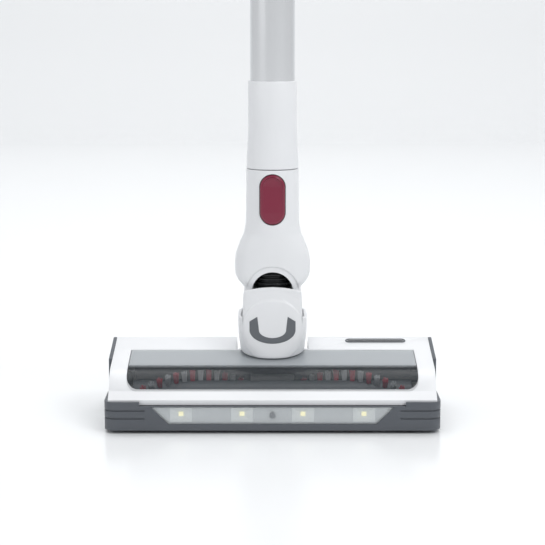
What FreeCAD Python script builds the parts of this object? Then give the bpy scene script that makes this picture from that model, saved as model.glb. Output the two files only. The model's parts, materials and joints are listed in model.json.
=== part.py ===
import FreeCAD, Part
import math
import os

# Cordless stick vacuum: floor head, swivel neck, wand and hand-held unit.
# Millimetres.  X is the width, +Y points to the user behind the head, +Z is up.
# The origin is on the floor, under the axis of the upright wand.

V = FreeCAD.Vector

# ---- floor head
HEAD_WIDTH = 252.0          # over the bumper
BUMPER_SIDE = 3.0           # how far the bumper and side caps stand out from the shell
SHELL_WALL = 2.2
FLOOR_GAP = 2.5             # underside of the head above the floor
HEAD_FRONT = -67.0
HEAD_REAR = 45.0
SPLIT_Z = 24.0              # parting height of base and top cover
RIDGE_Y, RIDGE_Z = 21.0, 56.5
SEAM_GAP = 0.3
FAR = 200.0                 # reach of the cutting blocks past any part of the head
PARALLEL = 0.99             # an edge whose direction has this much of an axis runs along it

# ---- brush
BRUSH_Y, BRUSH_Z = -33.0, 21.0
BRUSH_CORE_R = 12.0
BRISTLE_R = 20.5
BRUSH_HALF = 106.0
AXLE_R = 3.0
RUN_CLEAR = 0.05            # radial running clearance of shafts
WINDOW_R = 24.4             # outside of the window's curve about the brush axis
WINDOW_HALF = 110.0
WINDOW_CORNER_R = 9.0
WINDOW_BACK_Y = -4.0
TUFT_PITCH = 6.1
TUFT_R = 2.1
TUFT_TWIST = 1.65           # degrees of helix per millimetre

# ---- lamp bar
LENS_TOP_HALF, LENS_LOW_HALF = 90.5, 77.5
LENS_LOW_Z, LENS_TOP_Z = 7.6, 20.0
LAMP_PITCH = 45.6

# ---- wheels
WHEEL_X = 101.0
FRONT_WHEEL_R, FRONT_WHEEL_Y = 5.0, -57.0
REAR_WHEEL_R, REAR_WHEEL_Y = 9.0, 31.5
WHEEL_WIDTH = 8.0
WHEEL_AXLE_R = 1.5

# ---- neck
PITCH_Y, PITCH_Z = 14.0, 27.0
DRUM_R, DRUM_HALF = 19.0, 24.0
YOKE_HALF_X, YOKE_HALF_Y = 26.5, 24.0
YOKE_WALL = 2.6
YOKE_TOP = 103.6
SWIVEL_Z = 92.0
CHEEK_TOP = 80.0            # top of the yoke's side walls
SWIVEL_PIN_R = 4.0
PITCH_PIN_R = 6.0
NOTCH_HALF = 28.0

# ---- wand socket
LOBE_HALF_X, LOBE_HALF_Y = 29.2, 20.3
LOBE_Z = 120.0
SOCKET_R = 20.2
SOCKET_TOP = 192.7
SOCKET_WALL = 2.4
BARREL_R = 19.0
BUTTON_LOW, BUTTON_HIGH, BUTTON_HALF = 151.3, 189.4, 9.5
BUTTON_TRAVEL = 2.0
BUTTON_GAP = 0.4
BOSS_FRONT = 21.2           # front face of the pad around the button

# ---- wand
WAND_R = 17.0
WAND_WALL = 1.0
SLEEVE_R = 18.6
SLEEVE_FOOT_R = 20.0
SLEEVE_FLARE = 33.0         # height over which the sleeve widens to its foot
SLEEVE_TOP = 259.5
WAND_TOP = 760.0
COLLAR_R = 20.5
COLLAR_TOP = WAND_TOP + 46.0
SPIGOT_R = 14.9
SPIGOT_LENGTH = 24.0

# ---- hand-held unit
DUCT_R = 20.5
BIN_Y, BIN_R, BIN_WALL = -66.0, 40.0, 2.0
HAND_Z = COLLAR_TOP         # foot of the hand-held unit; its heights count from here
BIN_HIGH = HAND_Z + 152.0
BARREL_Z, MOTOR_R = HAND_Z + 199.0, 45.0
MOTOR_FRONT, MOTOR_BACK = -106.0, 30.0
GRIP_HALF = 15.0
PACK_LOW, PACK_HIGH = HAND_Z + 90.0, HAND_Z + 137.0


# ------------------------------------------------------------------ helpers
def box(x0, x1, y0, y1, z0, z1):
    return Part.makeBox(x1 - x0, y1 - y0, z1 - z0, V(x0, y0, z0))


def rod(axis, start, length, radius):
    """Cylinder from the point start along the unit axis."""
    return Part.makeCylinder(radius, length, V(*start), V(*axis))


def rod_x(x0, x1, y, z, radius):
    return rod((1, 0, 0), (x0, y, z), x1 - x0, radius)


def rod_y(y0, y1, x, z, radius):
    return rod((0, 1, 0), (x, y0, z), y1 - y0, radius)


def rod_z(z0, z1, x, y, radius):
    return rod((0, 0, 1), (x, y, z0), z1 - z0, radius)


def pipe_z(z0, z1, y, outer, inner):
    """Upright pipe on the line x=0."""
    return rod_z(z0, z1, 0, y, outer).cut(rod_z(z0 - 1, z1 + 1, 0, y, inner))


def prism(points, direction):
    """Closed polygon swept along a vector."""
    wire = Part.makePolygon([V(*p) for p in points] + [V(*points[0])])
    return Part.Face(wire).extrude(V(*direction))


def prism_x(points, half):
    """Polygon of (y, z) points swept from x=-half to x=+half."""
    return prism([(-half, y, z) for y, z in points], (2 * half, 0, 0))


def rounded_box(half_x, half_y, z0, z1, radius, y=0.0):
    """Upright block with rounded vertical edges, centred on x=0."""
    block = box(-half_x, half_x, y - half_y, y + half_y, z0, z1)
    upright = [e for e in block.Edges if abs(e.tangentAt(e.FirstParameter).z) > PARALLEL]
    return block.makeFillet(radius, upright)


def ring_wire(half_x, half_y, radius, z):
    """Rounded rectangle at height z, for lofts."""
    slab = rounded_box(half_x, half_y, z, z + 1.0, radius)
    face = min(slab.Faces, key=lambda f: f.CenterOfMass.z)
    return face.OuterWire


def group(shapes):
    return Part.makeCompound(shapes)


def save(name, shape):
    if shape.ShapeType == "Compound" and len(shape.Solids) == 1:
        shape = shape.Solids[0]
    volume = sum(s.Volume for s in shape.Solids)
    print("%-22s solids %2d  volume %9.0f  valid %s" % (name, len(shape.Solids), volume, shape.isValid()))
    shape.exportStep("parts/%s.step" % name)


# ------------------------------------------------------------------ floor head
def window_point(angle, radius):
    """Point (y, z) on a circle about the brush axis; 90 degrees is straight up."""
    a = math.radians(angle)
    return BRUSH_Y + radius * math.cos(a), BRUSH_Z + radius * math.sin(a)


def head_face(inset):
    """Side profile of the head's shell, shrunk by inset, as a face in the plane x=0."""
    y_front, y_back = HEAD_FRONT + 3.5 + inset, HEAD_REAR - inset
    radius = WINDOW_R - inset
    start, mid, end = (window_point(a, radius) for a in (158, 126, 95))
    lip = (y_front, SPLIT_Z + 1.0 - inset)
    corners = [(y_back, RIDGE_Z - 24.0), (y_back, FLOOR_GAP + inset), (y_front, FLOOR_GAP + inset), lip]
    ridge = (RIDGE_Y, RIDGE_Z - inset)
    strip_end = (WINDOW_BACK_Y, 51.2 - inset)
    to_v = lambda p: V(0, p[0], p[1])
    edges = [Part.LineSegment(to_v(a), to_v(b)).toShape() for a, b in (
        (lip, start), (end, strip_end), (strip_end, ridge), (ridge, corners[0]),
        (corners[0], corners[1]), (corners[1], corners[2]), (corners[2], lip))]
    edges.insert(1, Part.Arc(to_v(start), to_v(mid), to_v(end)).toShape())
    return Part.Face(Part.Wire(Part.__sortEdges__(edges)))


def head_solid(inset, x0, x1):
    face = head_face(inset)
    face.translate(V(x0, 0, 0))
    return face.extrude(V(x1 - x0, 0, 0))


COVER_HALF = HEAD_WIDTH / 2 - BUMPER_SIDE
BASE_FRONT = -56.3          # front wall of the base, behind the lamp bar


def window_cutter(gap):
    """Region of the shell that the clear window fills."""
    low = window_point(161, WINDOW_R + 6)
    outline = [(low[0], low[1] + gap), (low[0], 90.0), (WINDOW_BACK_Y - gap, 90.0),
               (WINDOW_BACK_Y - gap, 30.0), (BRUSH_Y, BRUSH_Z + 9 + gap)]
    half = WINDOW_HALF - gap
    sheet = box(-half, half, -FAR, FAR, low[1] + gap, FAR)
    corners = [e for e in sheet.Edges
               if abs(e.tangentAt(e.FirstParameter).y) > PARALLEL and e.CenterOfMass.z < low[1] + 1]
    return prism_x(outline, half).common(sheet.makeFillet(WINDOW_CORNER_R - gap, corners))


def make_cover():
    shell = head_solid(0, -COVER_HALF, COVER_HALF).cut(
        head_solid(SHELL_WALL, -COVER_HALF + SHELL_WALL, COVER_HALF - SHELL_WALL))
    upper = shell.cut(box(-FAR, FAR, BASE_FRONT - 2, FAR, -10, SPLIT_Z + SEAM_GAP))
    upper = upper.cut(box(-FAR, FAR, -FAR, BASE_FRONT + 1, -10, LENS_TOP_Z + 1.2))
    upper = upper.cut(window_cutter(0))
    notch = box(-NOTCH_HALF, NOTCH_HALF, WINDOW_BACK_Y + 2, FAR, 0, FAR)
    slot = rounded_slot(RELEASE_X, 22.5, 4.4, RIDGE_Y - 8, 12)
    return upper.cut(notch).cut(slot)


RELEASE_X = 81.0


def rounded_slot(x, half, width, y, depth):
    """Upright oval cutter of the given half length and width, centred on (x, y)."""
    r = width / 2
    body = box(x - half + r, x + half - r, y - r, y + r, RIDGE_Z - depth, RIDGE_Z + 10)
    ends = [rod_z(RIDGE_Z - depth, RIDGE_Z + 10, x + s * (half - r), y, r) for s in (-1, 1)]
    return body.multiFuse(ends).removeSplitter()


def make_window():
    shell = head_solid(0, -WINDOW_HALF, WINDOW_HALF).cut(
        head_solid(SHELL_WALL, -WINDOW_HALF - 1, WINDOW_HALF + 1))
    return shell.common(window_cutter(0.25))


def make_base():
    low = FLOOR_GAP
    half = COVER_HALF - 0.2
    tray = box(-half, half, BASE_FRONT, HEAD_REAR, low, SPLIT_Z)
    wall = SHELL_WALL
    tray = tray.cut(box(-half + wall, half - wall, BASE_FRONT + wall, HEAD_REAR - wall,
                        low + wall, SPLIT_Z + 1))
    mouth = box(-BRUSH_HALF - 4, BRUSH_HALF + 4, BASE_FRONT + 2.3, BRUSH_Y + 18, low - 1, low + wall + 1)
    tray = tray.cut(mouth)
    rear_gate = box(-NOTCH_HALF, NOTCH_HALF, 12, HEAD_REAR + 1, low + wall, SPLIT_Z + 1)
    tray = tray.cut(rear_gate)
    ears = []
    for side in (-1, 1):
        x0, x1 = sorted((side * (DRUM_HALF + 1.0), side * (DRUM_HALF + 5.0)))
        ear = box(x0, x1, PITCH_Y - 11, PITCH_Y + 11, low + wall - 0.5, PITCH_Z)
        ear = ear.fuse(rod_x(x0, x1, PITCH_Y, PITCH_Z, 11))
        ears.append(ear.cut(rod_x(x0 - 1, x1 + 1, PITCH_Y, PITCH_Z, PITCH_PIN_R + RUN_CLEAR)))
    tray = tray.multiFuse(ears)
    for side in (-1, 1):
        tray = tray.cut(wheel_room(side * WHEEL_X, REAR_WHEEL_Y, REAR_WHEEL_R))
        tray = tray.cut(front_wheel_room(side * WHEEL_X))
    return tray.multiFuse(rear_axle_forks()).removeSplitter()


def wheel_room(x, y, radius):
    half = WHEEL_WIDTH / 2 + 1
    return box(x - half, x + half, y - radius - 1, y + radius + 1, -1, FLOOR_GAP + SHELL_WALL + 1)


def front_wheel_room(x):
    """Space for a front wheel and for its axle's ends."""
    room = box(x - 5, x + 5, FRONT_WHEEL_Y - 7, FRONT_WHEEL_Y + 6, 0, FRONT_WHEEL_R * 2 + 1.5)
    return room.fuse(rod_x(x - 7, x + 7, FRONT_WHEEL_Y, FRONT_WHEEL_R, WHEEL_AXLE_R))


def make_bumper():
    half = HEAD_WIDTH / 2
    depth_mid = (HEAD_FRONT - 22) / 2
    body = rounded_box(half, (-22 - HEAD_FRONT) / 2, FLOOR_GAP, SPLIT_Z, 9, depth_mid)
    body = body.cut(box(-COVER_HALF, COVER_HALF, BASE_FRONT - 0.3, 0, 0, 40))
    corner_cut = box(-COVER_HALF, COVER_HALF, -64.2, BASE_FRONT + 1, LENS_TOP_Z + 0.9, 40)
    body = body.cut(corner_cut)
    body = body.cut(box(-LENS_TOP_HALF - 9, LENS_TOP_HALF + 9, HEAD_FRONT - 1, 0, LENS_TOP_Z + 0.7, 40))
    opening = lens_block(HEAD_FRONT - 1, BASE_FRONT + 1, 0.3)
    body = body.cut(opening)
    groove_shell = rounded_box(half + 1, (-22 - HEAD_FRONT) / 2 + 1, 0, 1.1, 9, depth_mid).cut(
        rounded_box(half - 0.9, (-22 - HEAD_FRONT) / 2 - 0.9, -1, 3, 8.2, depth_mid))
    middle = box(-LENS_TOP_HALF - 5, LENS_TOP_HALF + 5, -FAR, FAR, -10, 60)
    for height in (11.0, 17.0):
        groove = groove_shell.copy()
        groove.translate(V(0, 0, height))
        body = body.cut(groove.cut(middle))
    for side in (-1, 1):
        x = side * WHEEL_X
        body = body.cut(front_wheel_room(x))
    return body


def lens_block(y0, y1, gap):
    """Trapezoid of the lamp bar, swept from y0 to y1; gap widens it."""
    points = [(-LENS_LOW_HALF - gap, y0, LENS_LOW_Z - gap), (LENS_LOW_HALF + gap, y0, LENS_LOW_Z - gap),
              (LENS_TOP_HALF + gap, y0, LENS_TOP_Z + gap), (-LENS_TOP_HALF - gap, y0, LENS_TOP_Z + gap)]
    return prism(points, (0, y1 - y0, 0))


def lamp_places():
    return [(i - 1.5) * LAMP_PITCH for i in range(4)]


def make_lamp_bar():
    lens = lens_block(HEAD_FRONT + 0.6, HEAD_FRONT + 2.2, 0)
    lens = lens.cut(rod_y(-80, -50, 0, 13.8, 1.9))
    save("lamp_lens", lens)
    tray = lens_block(HEAD_FRONT + 5.2, HEAD_FRONT + 6.2, -0.4)
    tray = tray.cut(rod_y(-80, -50, 0, 13.8, 1.9))
    for x in lamp_places():
        tray = tray.cut(box(x - 2.2, x + 2.2, -80, -50, 12.6, 17))
    save("lamp_reflector", tray)
    board = box(-76, 76, HEAD_FRONT + 7.2, HEAD_FRONT + 8.4, 9.5, 18.5)
    chips = [box(x - 1.8, x + 1.8, HEAD_FRONT + 5.4, HEAD_FRONT + 7.3, 13.0, 16.6) for x in lamp_places()]
    save("lamp_board", board.cut(rod_y(-80, -50, 0, 13.8, 1.9)).multiFuse(chips))


def make_side_caps():
    caps = []
    for side in (-1, 1):
        x0, x1 = sorted((side * (COVER_HALF + 0.1), side * (COVER_HALF + BUMPER_SIDE)))
        caps.append(head_solid(0, x0, x1).common(box(-FAR, FAR, -21.5, FAR, -10, FAR)))
    save("side_caps", group(caps))


def make_brush():
    core = rod_x(-BRUSH_HALF, BRUSH_HALF, BRUSH_Y, BRUSH_Z, BRUSH_CORE_R)
    core = core.cut(rod_x(BRUSH_HALF - 16, BRUSH_HALF + 1, BRUSH_Y, BRUSH_Z, 8))
    axles = [rod_x(-BRUSH_HALF - 7, -BRUSH_HALF + 1, BRUSH_Y, BRUSH_Z, AXLE_R),
             rod_x(BRUSH_HALF - 17, BRUSH_HALF + 7, BRUSH_Y, BRUSH_Z, AXLE_R)]
    core = core.multiFuse(axles).removeSplitter()
    tufts = {"bristles_red": [], "bristles_grey": []}
    count = int((BRUSH_HALF - 8) // TUFT_PITCH)
    for i in range(-count, count + 1):
        x = i * TUFT_PITCH
        for row in (0, 180):
            angle = math.radians(TUFT_TWIST * abs(x) - 12 + row)
            way = (0, math.cos(angle), math.sin(angle))
            foot = (x, BRUSH_Y + 10.0 * way[1], BRUSH_Z + 10.0 * way[2])
            tuft = rod(way, foot, BRISTLE_R - 10.0, TUFT_R)
            hole = rod(way, foot, BRISTLE_R, TUFT_R)
            core = core.cut(hole)
            tufts["bristles_red" if i % 2 == 0 else "bristles_grey"].append(tuft)
    save("brush_core", core)
    for name, solids in tufts.items():
        save(name, group(solids))
    save("brush_pulley", rod_x(-BRUSH_HALF - 6, -BRUSH_HALF - 1, BRUSH_Y, BRUSH_Z, 9).cut(
        rod_x(-BRUSH_HALF - 8, -BRUSH_HALF, BRUSH_Y, BRUSH_Z, AXLE_R)))
    bearings = []
    for side in (-1, 1):
        x0, x1 = (-BRUSH_HALF - 8.5, -BRUSH_HALF - 6.3) if side < 0 else (BRUSH_HALF + 1.2, BRUSH_HALF + 6)
        block = box(x0, x1, BRUSH_Y - 9, BRUSH_Y + 9, BRUSH_Z - 15.9, BRUSH_Z + 9)
        bearings.append(block.cut(rod_x(x0 - 1, x1 + 1, BRUSH_Y, BRUSH_Z, AXLE_R + RUN_CLEAR)))
    save("brush_bearings", group(bearings))


MOTOR_Y, MOTOR_Z = 5.5, 24.0
PULLEY_R = 6.0


def make_brush_drive():
    x0, x1 = -BRUSH_HALF - 6, -BRUSH_HALF - 1
    save("motor_pulley", rod_x(x0, x1, MOTOR_Y, MOTOR_Z, PULLEY_R).cut(
        rod_x(x0 - 1, x1 + 1, MOTOR_Y, MOTOR_Z, 1.5)).fuse(rod_x(x0, x1 + 5, MOTOR_Y, MOTOR_Z, 1.5)))
    save("brush_motor", rod_x(x1 + 1.4, x1 + 48, MOTOR_Y, MOTOR_Z, 12).cut(
        rod_x(x1, x1 + 6, MOTOR_Y, MOTOR_Z, 1.5 + RUN_CLEAR)))
    run = math.hypot(MOTOR_Y - BRUSH_Y, MOTOR_Z - BRUSH_Z)
    tilt = math.asin((MOTOR_Z - BRUSH_Z) / run)
    taper = math.asin((9 - PULLEY_R) / run)

    def loop(extra, half_gap):
        """Belt outline around both pulleys, wrapped at the given distance."""
        big, small = 9 + extra, PULLEY_R + extra
        points = []
        for sign in (1, -1):
            a = tilt + sign * (math.pi / 2 - taper)
            points.append((BRUSH_Y + big * math.cos(a), BRUSH_Z + big * math.sin(a)))
            points.append((MOTOR_Y + small * math.cos(a), MOTOR_Z + small * math.sin(a)))
        points[2], points[3] = points[3], points[2]
        flat = prism([(x0 + half_gap, y, z) for y, z in points], (x1 - x0 - 2 * half_gap, 0, 0))
        ends = [rod_x(x0 + half_gap, x1 - half_gap, BRUSH_Y, BRUSH_Z, big),
                rod_x(x0 + half_gap, x1 - half_gap, MOTOR_Y, MOTOR_Z, small)]
        return flat.multiFuse(ends).removeSplitter()

    save("drive_belt", loop(1.6, 0.6).cut(loop(0.2, 0.0)))


def make_chamber():
    """Trough behind and over the brush, with a port to the suction elbow."""
    outer = rod_x(-BRUSH_HALF + 0.2, BRUSH_HALF + 0.8, BRUSH_Y, BRUSH_Z, 23.4)
    inner = rod_x(-BRUSH_HALF - 2, BRUSH_HALF + 2, BRUSH_Y, BRUSH_Z, 21.8)
    back = outer.cut(inner).common(box(-FAR, FAR, BRUSH_Y + 5, 0, FLOOR_GAP + SHELL_WALL + 0.3, 80))
    port = box(-17, 17, BRUSH_Y + 10, 0, 12, 34)
    elbow = box(-19, 19, BRUSH_Y + 21, PITCH_Y - DRUM_R - 0.6, 10, 36).cut(inner)
    save("brush_chamber", back.fuse(elbow).cut(port).cut(box(-17, 17, -50, 20, 12, 34)).removeSplitter())


def make_wheels():
    for name, side, y, r in (("front_wheel_left", -1, FRONT_WHEEL_Y, FRONT_WHEEL_R),
                             ("front_wheel_right", 1, FRONT_WHEEL_Y, FRONT_WHEEL_R),
                             ("rear_wheel_left", -1, REAR_WHEEL_Y, REAR_WHEEL_R),
                             ("rear_wheel_right", 1, REAR_WHEEL_Y, REAR_WHEEL_R)):
        x = side * WHEEL_X
        half = WHEEL_WIDTH / 2
        wheel = rod_x(x - half, x + half, y, r, r)
        save(name, wheel.cut(rod_x(x - 9, x + 9, y, r, WHEEL_AXLE_R + RUN_CLEAR)))
    axles = []
    for side in (-1, 1):
        x = side * WHEEL_X
        axles.append(rod_x(x - 7, x + 7, FRONT_WHEEL_Y, FRONT_WHEEL_R, WHEEL_AXLE_R))
        axles.append(rod_x(x - 9, x + 9, REAR_WHEEL_Y, REAR_WHEEL_R, WHEEL_AXLE_R))
    save("wheel_axles", group(axles))


def rear_axle_forks():
    """Posts of the base that carry the rear wheels' axles."""
    forks = []
    for side in (-1, 1):
        for step in (-1, 1):
            x0 = side * WHEEL_X + step * 7.0
            fork = box(x0 - 1.6, x0 + 1.6, REAR_WHEEL_Y - 5, REAR_WHEEL_Y + 5, FLOOR_GAP, 15)
            forks.append(fork.cut(rod_x(x0 - 3, x0 + 3, REAR_WHEEL_Y, REAR_WHEEL_R, WHEEL_AXLE_R)))
    return forks


def make_release():
    """Sliding catch in the oval slot of the ridge; it frees the brush."""
    slider = rounded_slot(RELEASE_X - 6, 15.5, 3.8, RIDGE_Y - 8, 9).common(
        box(-FAR, FAR, -FAR, FAR, RIDGE_Z - 9, RIDGE_Z - 3.5))
    save("brush_catch", slider)


# ------------------------------------------------------------------ neck
def strip_height(y):
    """Height of the head's upper face in front of the notch."""
    end = window_point(95, WINDOW_R)
    return end[1] + (y - end[0]) * (51.2 - end[1]) / (WINDOW_BACK_Y - end[0])


def yoke_body(inset):
    """Turret of the neck, shrunk by inset, without its openings."""
    post = rounded_box(YOKE_HALF_X - inset, YOKE_HALF_Y - inset, 40 if inset == 0 else 20,
                       YOKE_TOP if inset == 0 else YOKE_TOP + 10, 9 - inset)
    hip = box(-DRUM_HALF + inset, DRUM_HALF - inset, 0, YOKE_HALF_Y + 6 - inset, PITCH_Z - 3, 62 - inset)
    drum = rod_x(-DRUM_HALF + inset, DRUM_HALF - inset, PITCH_Y, PITCH_Z, DRUM_R - inset)
    lower_cut = prism_x([(-60, -20), (WINDOW_BACK_Y + 3, -20), (WINDOW_BACK_Y + 3, 52.3),
                         (-60, strip_height(-60) + 0.9)], 60)
    rest = box(-60, 60, WINDOW_BACK_Y + 2.9, 60, -20, 44)
    return post.cut(lower_cut).cut(rest).multiFuse([hip, drum])


def make_yoke():
    hollow = yoke_body(YOKE_WALL)
    floor_keep = prism_x([(-60, -20), (WINDOW_BACK_Y + 3, -20), (WINDOW_BACK_Y + 3, 52.3),
                          (-60, strip_height(-60) + 0.9)], 60)
    floor_keep.translate(V(0, 0, YOKE_WALL))
    yoke = yoke_body(0).cut(hollow.cut(floor_keep))
    clevis = box(-60, 60, -LOBE_HALF_Y - 0.5, LOBE_HALF_Y + 0.5, CHEEK_TOP, FAR)
    yoke = yoke.cut(clevis)
    arch = rod_y(-60, 60, 0, YOKE_TOP - 79.0, 79.0).common(box(-60, 60, -60, 60, 60, FAR))
    keep = arch.fuse(box(-60, 60, -60, 60, -20, 61))
    yoke = yoke.common(keep)
    yoke = yoke.cut(box(-16, 16, -40, PITCH_Y - 4, 13, 33))
    yoke = yoke.cut(rod_y(-60, 60, 0, SWIVEL_Z, SWIVEL_PIN_R))
    yoke = yoke.cut(inlay_shape(-60, -YOKE_HALF_Y + 1.2, 0.1))
    for side in (-1, 1):
        x0, x1 = sorted((side * (DRUM_HALF - 4), side * (DRUM_HALF + 2)))
        yoke = yoke.cut(rod_x(x0, x1, PITCH_Y, PITCH_Z, PITCH_PIN_R))
    save("neck_yoke", yoke.removeSplitter())
    pins = []
    for side in (-1, 1):
        x0, x1 = sorted((side * (DRUM_HALF - YOKE_WALL - 1), side * (DRUM_HALF + 5)))
        pins.append(rod_x(x0, x1, PITCH_Y, PITCH_Z, PITCH_PIN_R))
    save("pitch_pins", group(pins))
    pins = []
    for y0, y1 in ((-YOKE_HALF_Y + 1.0, -LOBE_HALF_Y + 2.6), (LOBE_HALF_Y - 2.6, YOKE_HALF_Y - 1.0)):
        pins.append(rod_y(y0, y1, 0, SWIVEL_Z, SWIVEL_PIN_R))
    save("swivel_pins", group(pins))


def inlay_shape(y0, y1, gap):
    """U-shaped trim on the front of the yoke."""
    outer, inner, low, top = 17.4 + gap, 11.0 - gap, 60.4 - gap, 81.6 + gap
    height = top - low
    body = box(-outer, outer, y0, y1, low, top)
    lower = [e for e in body.Edges
             if abs(e.tangentAt(e.FirstParameter).y) > PARALLEL and e.CenterOfMass.z < low + 1]
    body = body.makeFillet(6.5, lower)
    hole = box(-inner, inner, y0 - 1, y1 + 1, low + 4.2 + 2 * gap, top + 5)
    lower = [e for e in hole.Edges
             if abs(e.tangentAt(e.FirstParameter).y) > PARALLEL and e.CenterOfMass.z < low + 9]
    hole = hole.makeFillet(3.5, lower)
    body = body.cut(hole)
    for side in (-1, 1):
        slant = prism([(side * (inner - 1), y0 - 1, top + 1), (side * (outer + 1), y0 - 1, top - 5),
                       (side * (outer + 1), y0 - 1, top + 1)], (0, y1 - y0 + 2, 0))
        body = body.cut(slant)
    return body


def make_inlay():
    save("neck_inlay", inlay_shape(-YOKE_HALF_Y - 0.3, -YOKE_HALF_Y + 1.1, 0))


BELLOWS_R, BELLOWS_RIB = 12.6, 2.7


def make_bellows():
    z0, z1 = 58.0, 122.0
    pipe = pipe_z(z0, z1, 0, BELLOWS_R, BELLOWS_R - 1.8)
    count = int((z1 - z0 - 6) // BELLOWS_RIB)
    ribs = [pipe_z(z0 + 4 + i * BELLOWS_RIB, z0 + 5.3 + i * BELLOWS_RIB, 0, BELLOWS_R + 1.6, BELLOWS_R - 0.5)
            for i in range(count)]
    save("neck_bellows", pipe.multiFuse(ribs).removeSplitter())


# ------------------------------------------------------------------ wand socket
def socket_body(inset):
    lobe = ring_wire(LOBE_HALF_X - inset, LOBE_HALF_Y - inset, 15 - inset, LOBE_Z)
    bell = Part.makeLoft([lobe, ring_wire(25.5 - inset, 20.4 - inset, 17.5 - inset, LOBE_Z + 16),
                          ring_wire(20.6 - inset, 20.3 - inset, 20.0 - inset, LOBE_Z + 30)], True, False)
    neck = rod_z(LOBE_Z + 29.9, SOCKET_TOP, 0, 0, SOCKET_R - inset)
    flat = rod_y(-LOBE_HALF_Y + inset, LOBE_HALF_Y - inset, 0, LOBE_Z, LOBE_HALF_X - inset)
    flat = flat.common(box(-60, 60, -60, 60, LOBE_Z - 18 + inset, LOBE_Z + 0.1))
    barrel = rod_y(-LOBE_HALF_Y + inset, LOBE_HALF_Y - inset, 0, SWIVEL_Z, BARREL_R - inset)
    link = box(-BARREL_R + inset, BARREL_R - inset, -LOBE_HALF_Y + inset, LOBE_HALF_Y - inset,
               SWIVEL_Z, LOBE_Z)
    return bell.multiFuse([neck, flat, barrel, link])


def button_shape(gap, y0, y1):
    half = BUTTON_HALF + gap
    low, high = BUTTON_LOW - gap + half, BUTTON_HIGH + gap - half
    body = box(-half, half, y0, y1, low, high)
    return body.multiFuse([rod_y(y0, y1, 0, z, half) for z in (low, high)]).removeSplitter()


def button_boss():
    """Pad that carries the button on the front of the socket."""
    return rounded_box(13.5, (BOSS_FRONT + 6) / 2, BUTTON_LOW - 6, SOCKET_TOP, 6.5, -(BOSS_FRONT + 6) / 2 + 6)


def make_socket():
    socket = socket_body(0).fuse(button_boss()).cut(socket_body(SOCKET_WALL))
    bore = rod_z(SLEEVE_FOOT, SOCKET_TOP + 1, 0, 0, SPIGOT_R + 0.2)
    socket = socket.cut(bore)
    socket = socket.cut(rod_z(60, LOBE_Z + 2, 0, 0, BELLOWS_R + 2.2))
    arch = rod_y(-60, 0, 0, 98.5, 16.0).common(box(-60, 60, -60, 0, 102.8, 140))
    socket = socket.cut(arch)
    socket = socket.cut(rod_y(-60, 60, 0, SWIVEL_Z, SWIVEL_PIN_R + RUN_CLEAR))
    socket = socket.cut(button_shape(BUTTON_GAP, -60, -SPIGOT_R))
    save("wand_socket", max(socket.Solids, key=lambda s: s.Volume))
    save("wand_button", button_shape(0, -BOSS_FRONT - 0.8, -SPIGOT_R - 0.4 - BUTTON_TRAVEL))


SLEEVE_FOOT = SOCKET_TOP - SPIGOT_LENGTH


def make_wand():
    save("wand_tube", pipe_z(SOCKET_TOP + 4, WAND_TOP, 0, WAND_R, WAND_R - WAND_WALL))
    sleeve = pipe_z(SOCKET_TOP + 0.3, SLEEVE_TOP, 0, SLEEVE_R, WAND_R)
    flare = Part.makeCone(SLEEVE_FOOT_R, SLEEVE_R, SLEEVE_FLARE, V(0, 0, SOCKET_TOP + 0.3))
    sleeve = sleeve.fuse(flare.cut(rod_z(0, WAND_TOP, 0, 0, WAND_R)))
    step = pipe_z(SOCKET_TOP + 0.3, SOCKET_TOP + 4, 0, SLEEVE_R, SPIGOT_R - 1.8)
    spigot = pipe_z(SLEEVE_FOOT, SOCKET_TOP + 1, 0, SPIGOT_R, SPIGOT_R - 1.8)
    save("wand_sleeve", sleeve.multiFuse([step, spigot]).removeSplitter())
    collar = pipe_z(WAND_TOP - 46, COLLAR_TOP, 0, COLLAR_R, WAND_R)
    plug = pipe_z(WAND_TOP, COLLAR_TOP, 0, WAND_R + 0.5, SPIGOT_R - 1.8)
    spigot = pipe_z(COLLAR_TOP - 1, COLLAR_TOP + SPIGOT_LENGTH, 0, SPIGOT_R, SPIGOT_R - 1.8)
    save("wand_collar", collar.multiFuse([plug, spigot]).removeSplitter())
    lead = box(-2.5, 2.5, WAND_R - WAND_WALL - 2.2, WAND_R - WAND_WALL - 0.7, SOCKET_TOP + 5, WAND_TOP - 1)
    save("wand_lead", lead)


# ------------------------------------------------------------------ hand-held unit
HAND_BUTTON_LOW, HAND_BUTTON_HIGH, HAND_BUTTON_HALF = HAND_Z + 5, HAND_Z + 27, 6.5
LID_TOP = HAND_Z + 39.6
LID_HINGE_X, LID_HINGE_Z = -45.0, HAND_Z + 37
CAP_BACK = 36.4             # rear face of the motor barrel's end cap
GRIP_FRONT, GRIP_BACK = 88.0, 112.0
CELL_R, CELL_LENGTH = 9.1, 65.0
TRIGGER_LOW, TRIGGER_HIGH = HAND_Z + 166, HAND_Z + 188
JACK_X, JACK_Z, JACK_R = 18.0, HAND_Z + 97, 2.8


def hand_button(gap, y0, y1):
    half = HAND_BUTTON_HALF + gap
    low, high = HAND_BUTTON_LOW - gap + half, HAND_BUTTON_HIGH + gap - half
    body = box(-half, half, y0, y1, low, high)
    return body.multiFuse([rod_y(y0, y1, 0, z, half) for z in (low, high)]).removeSplitter()


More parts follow.
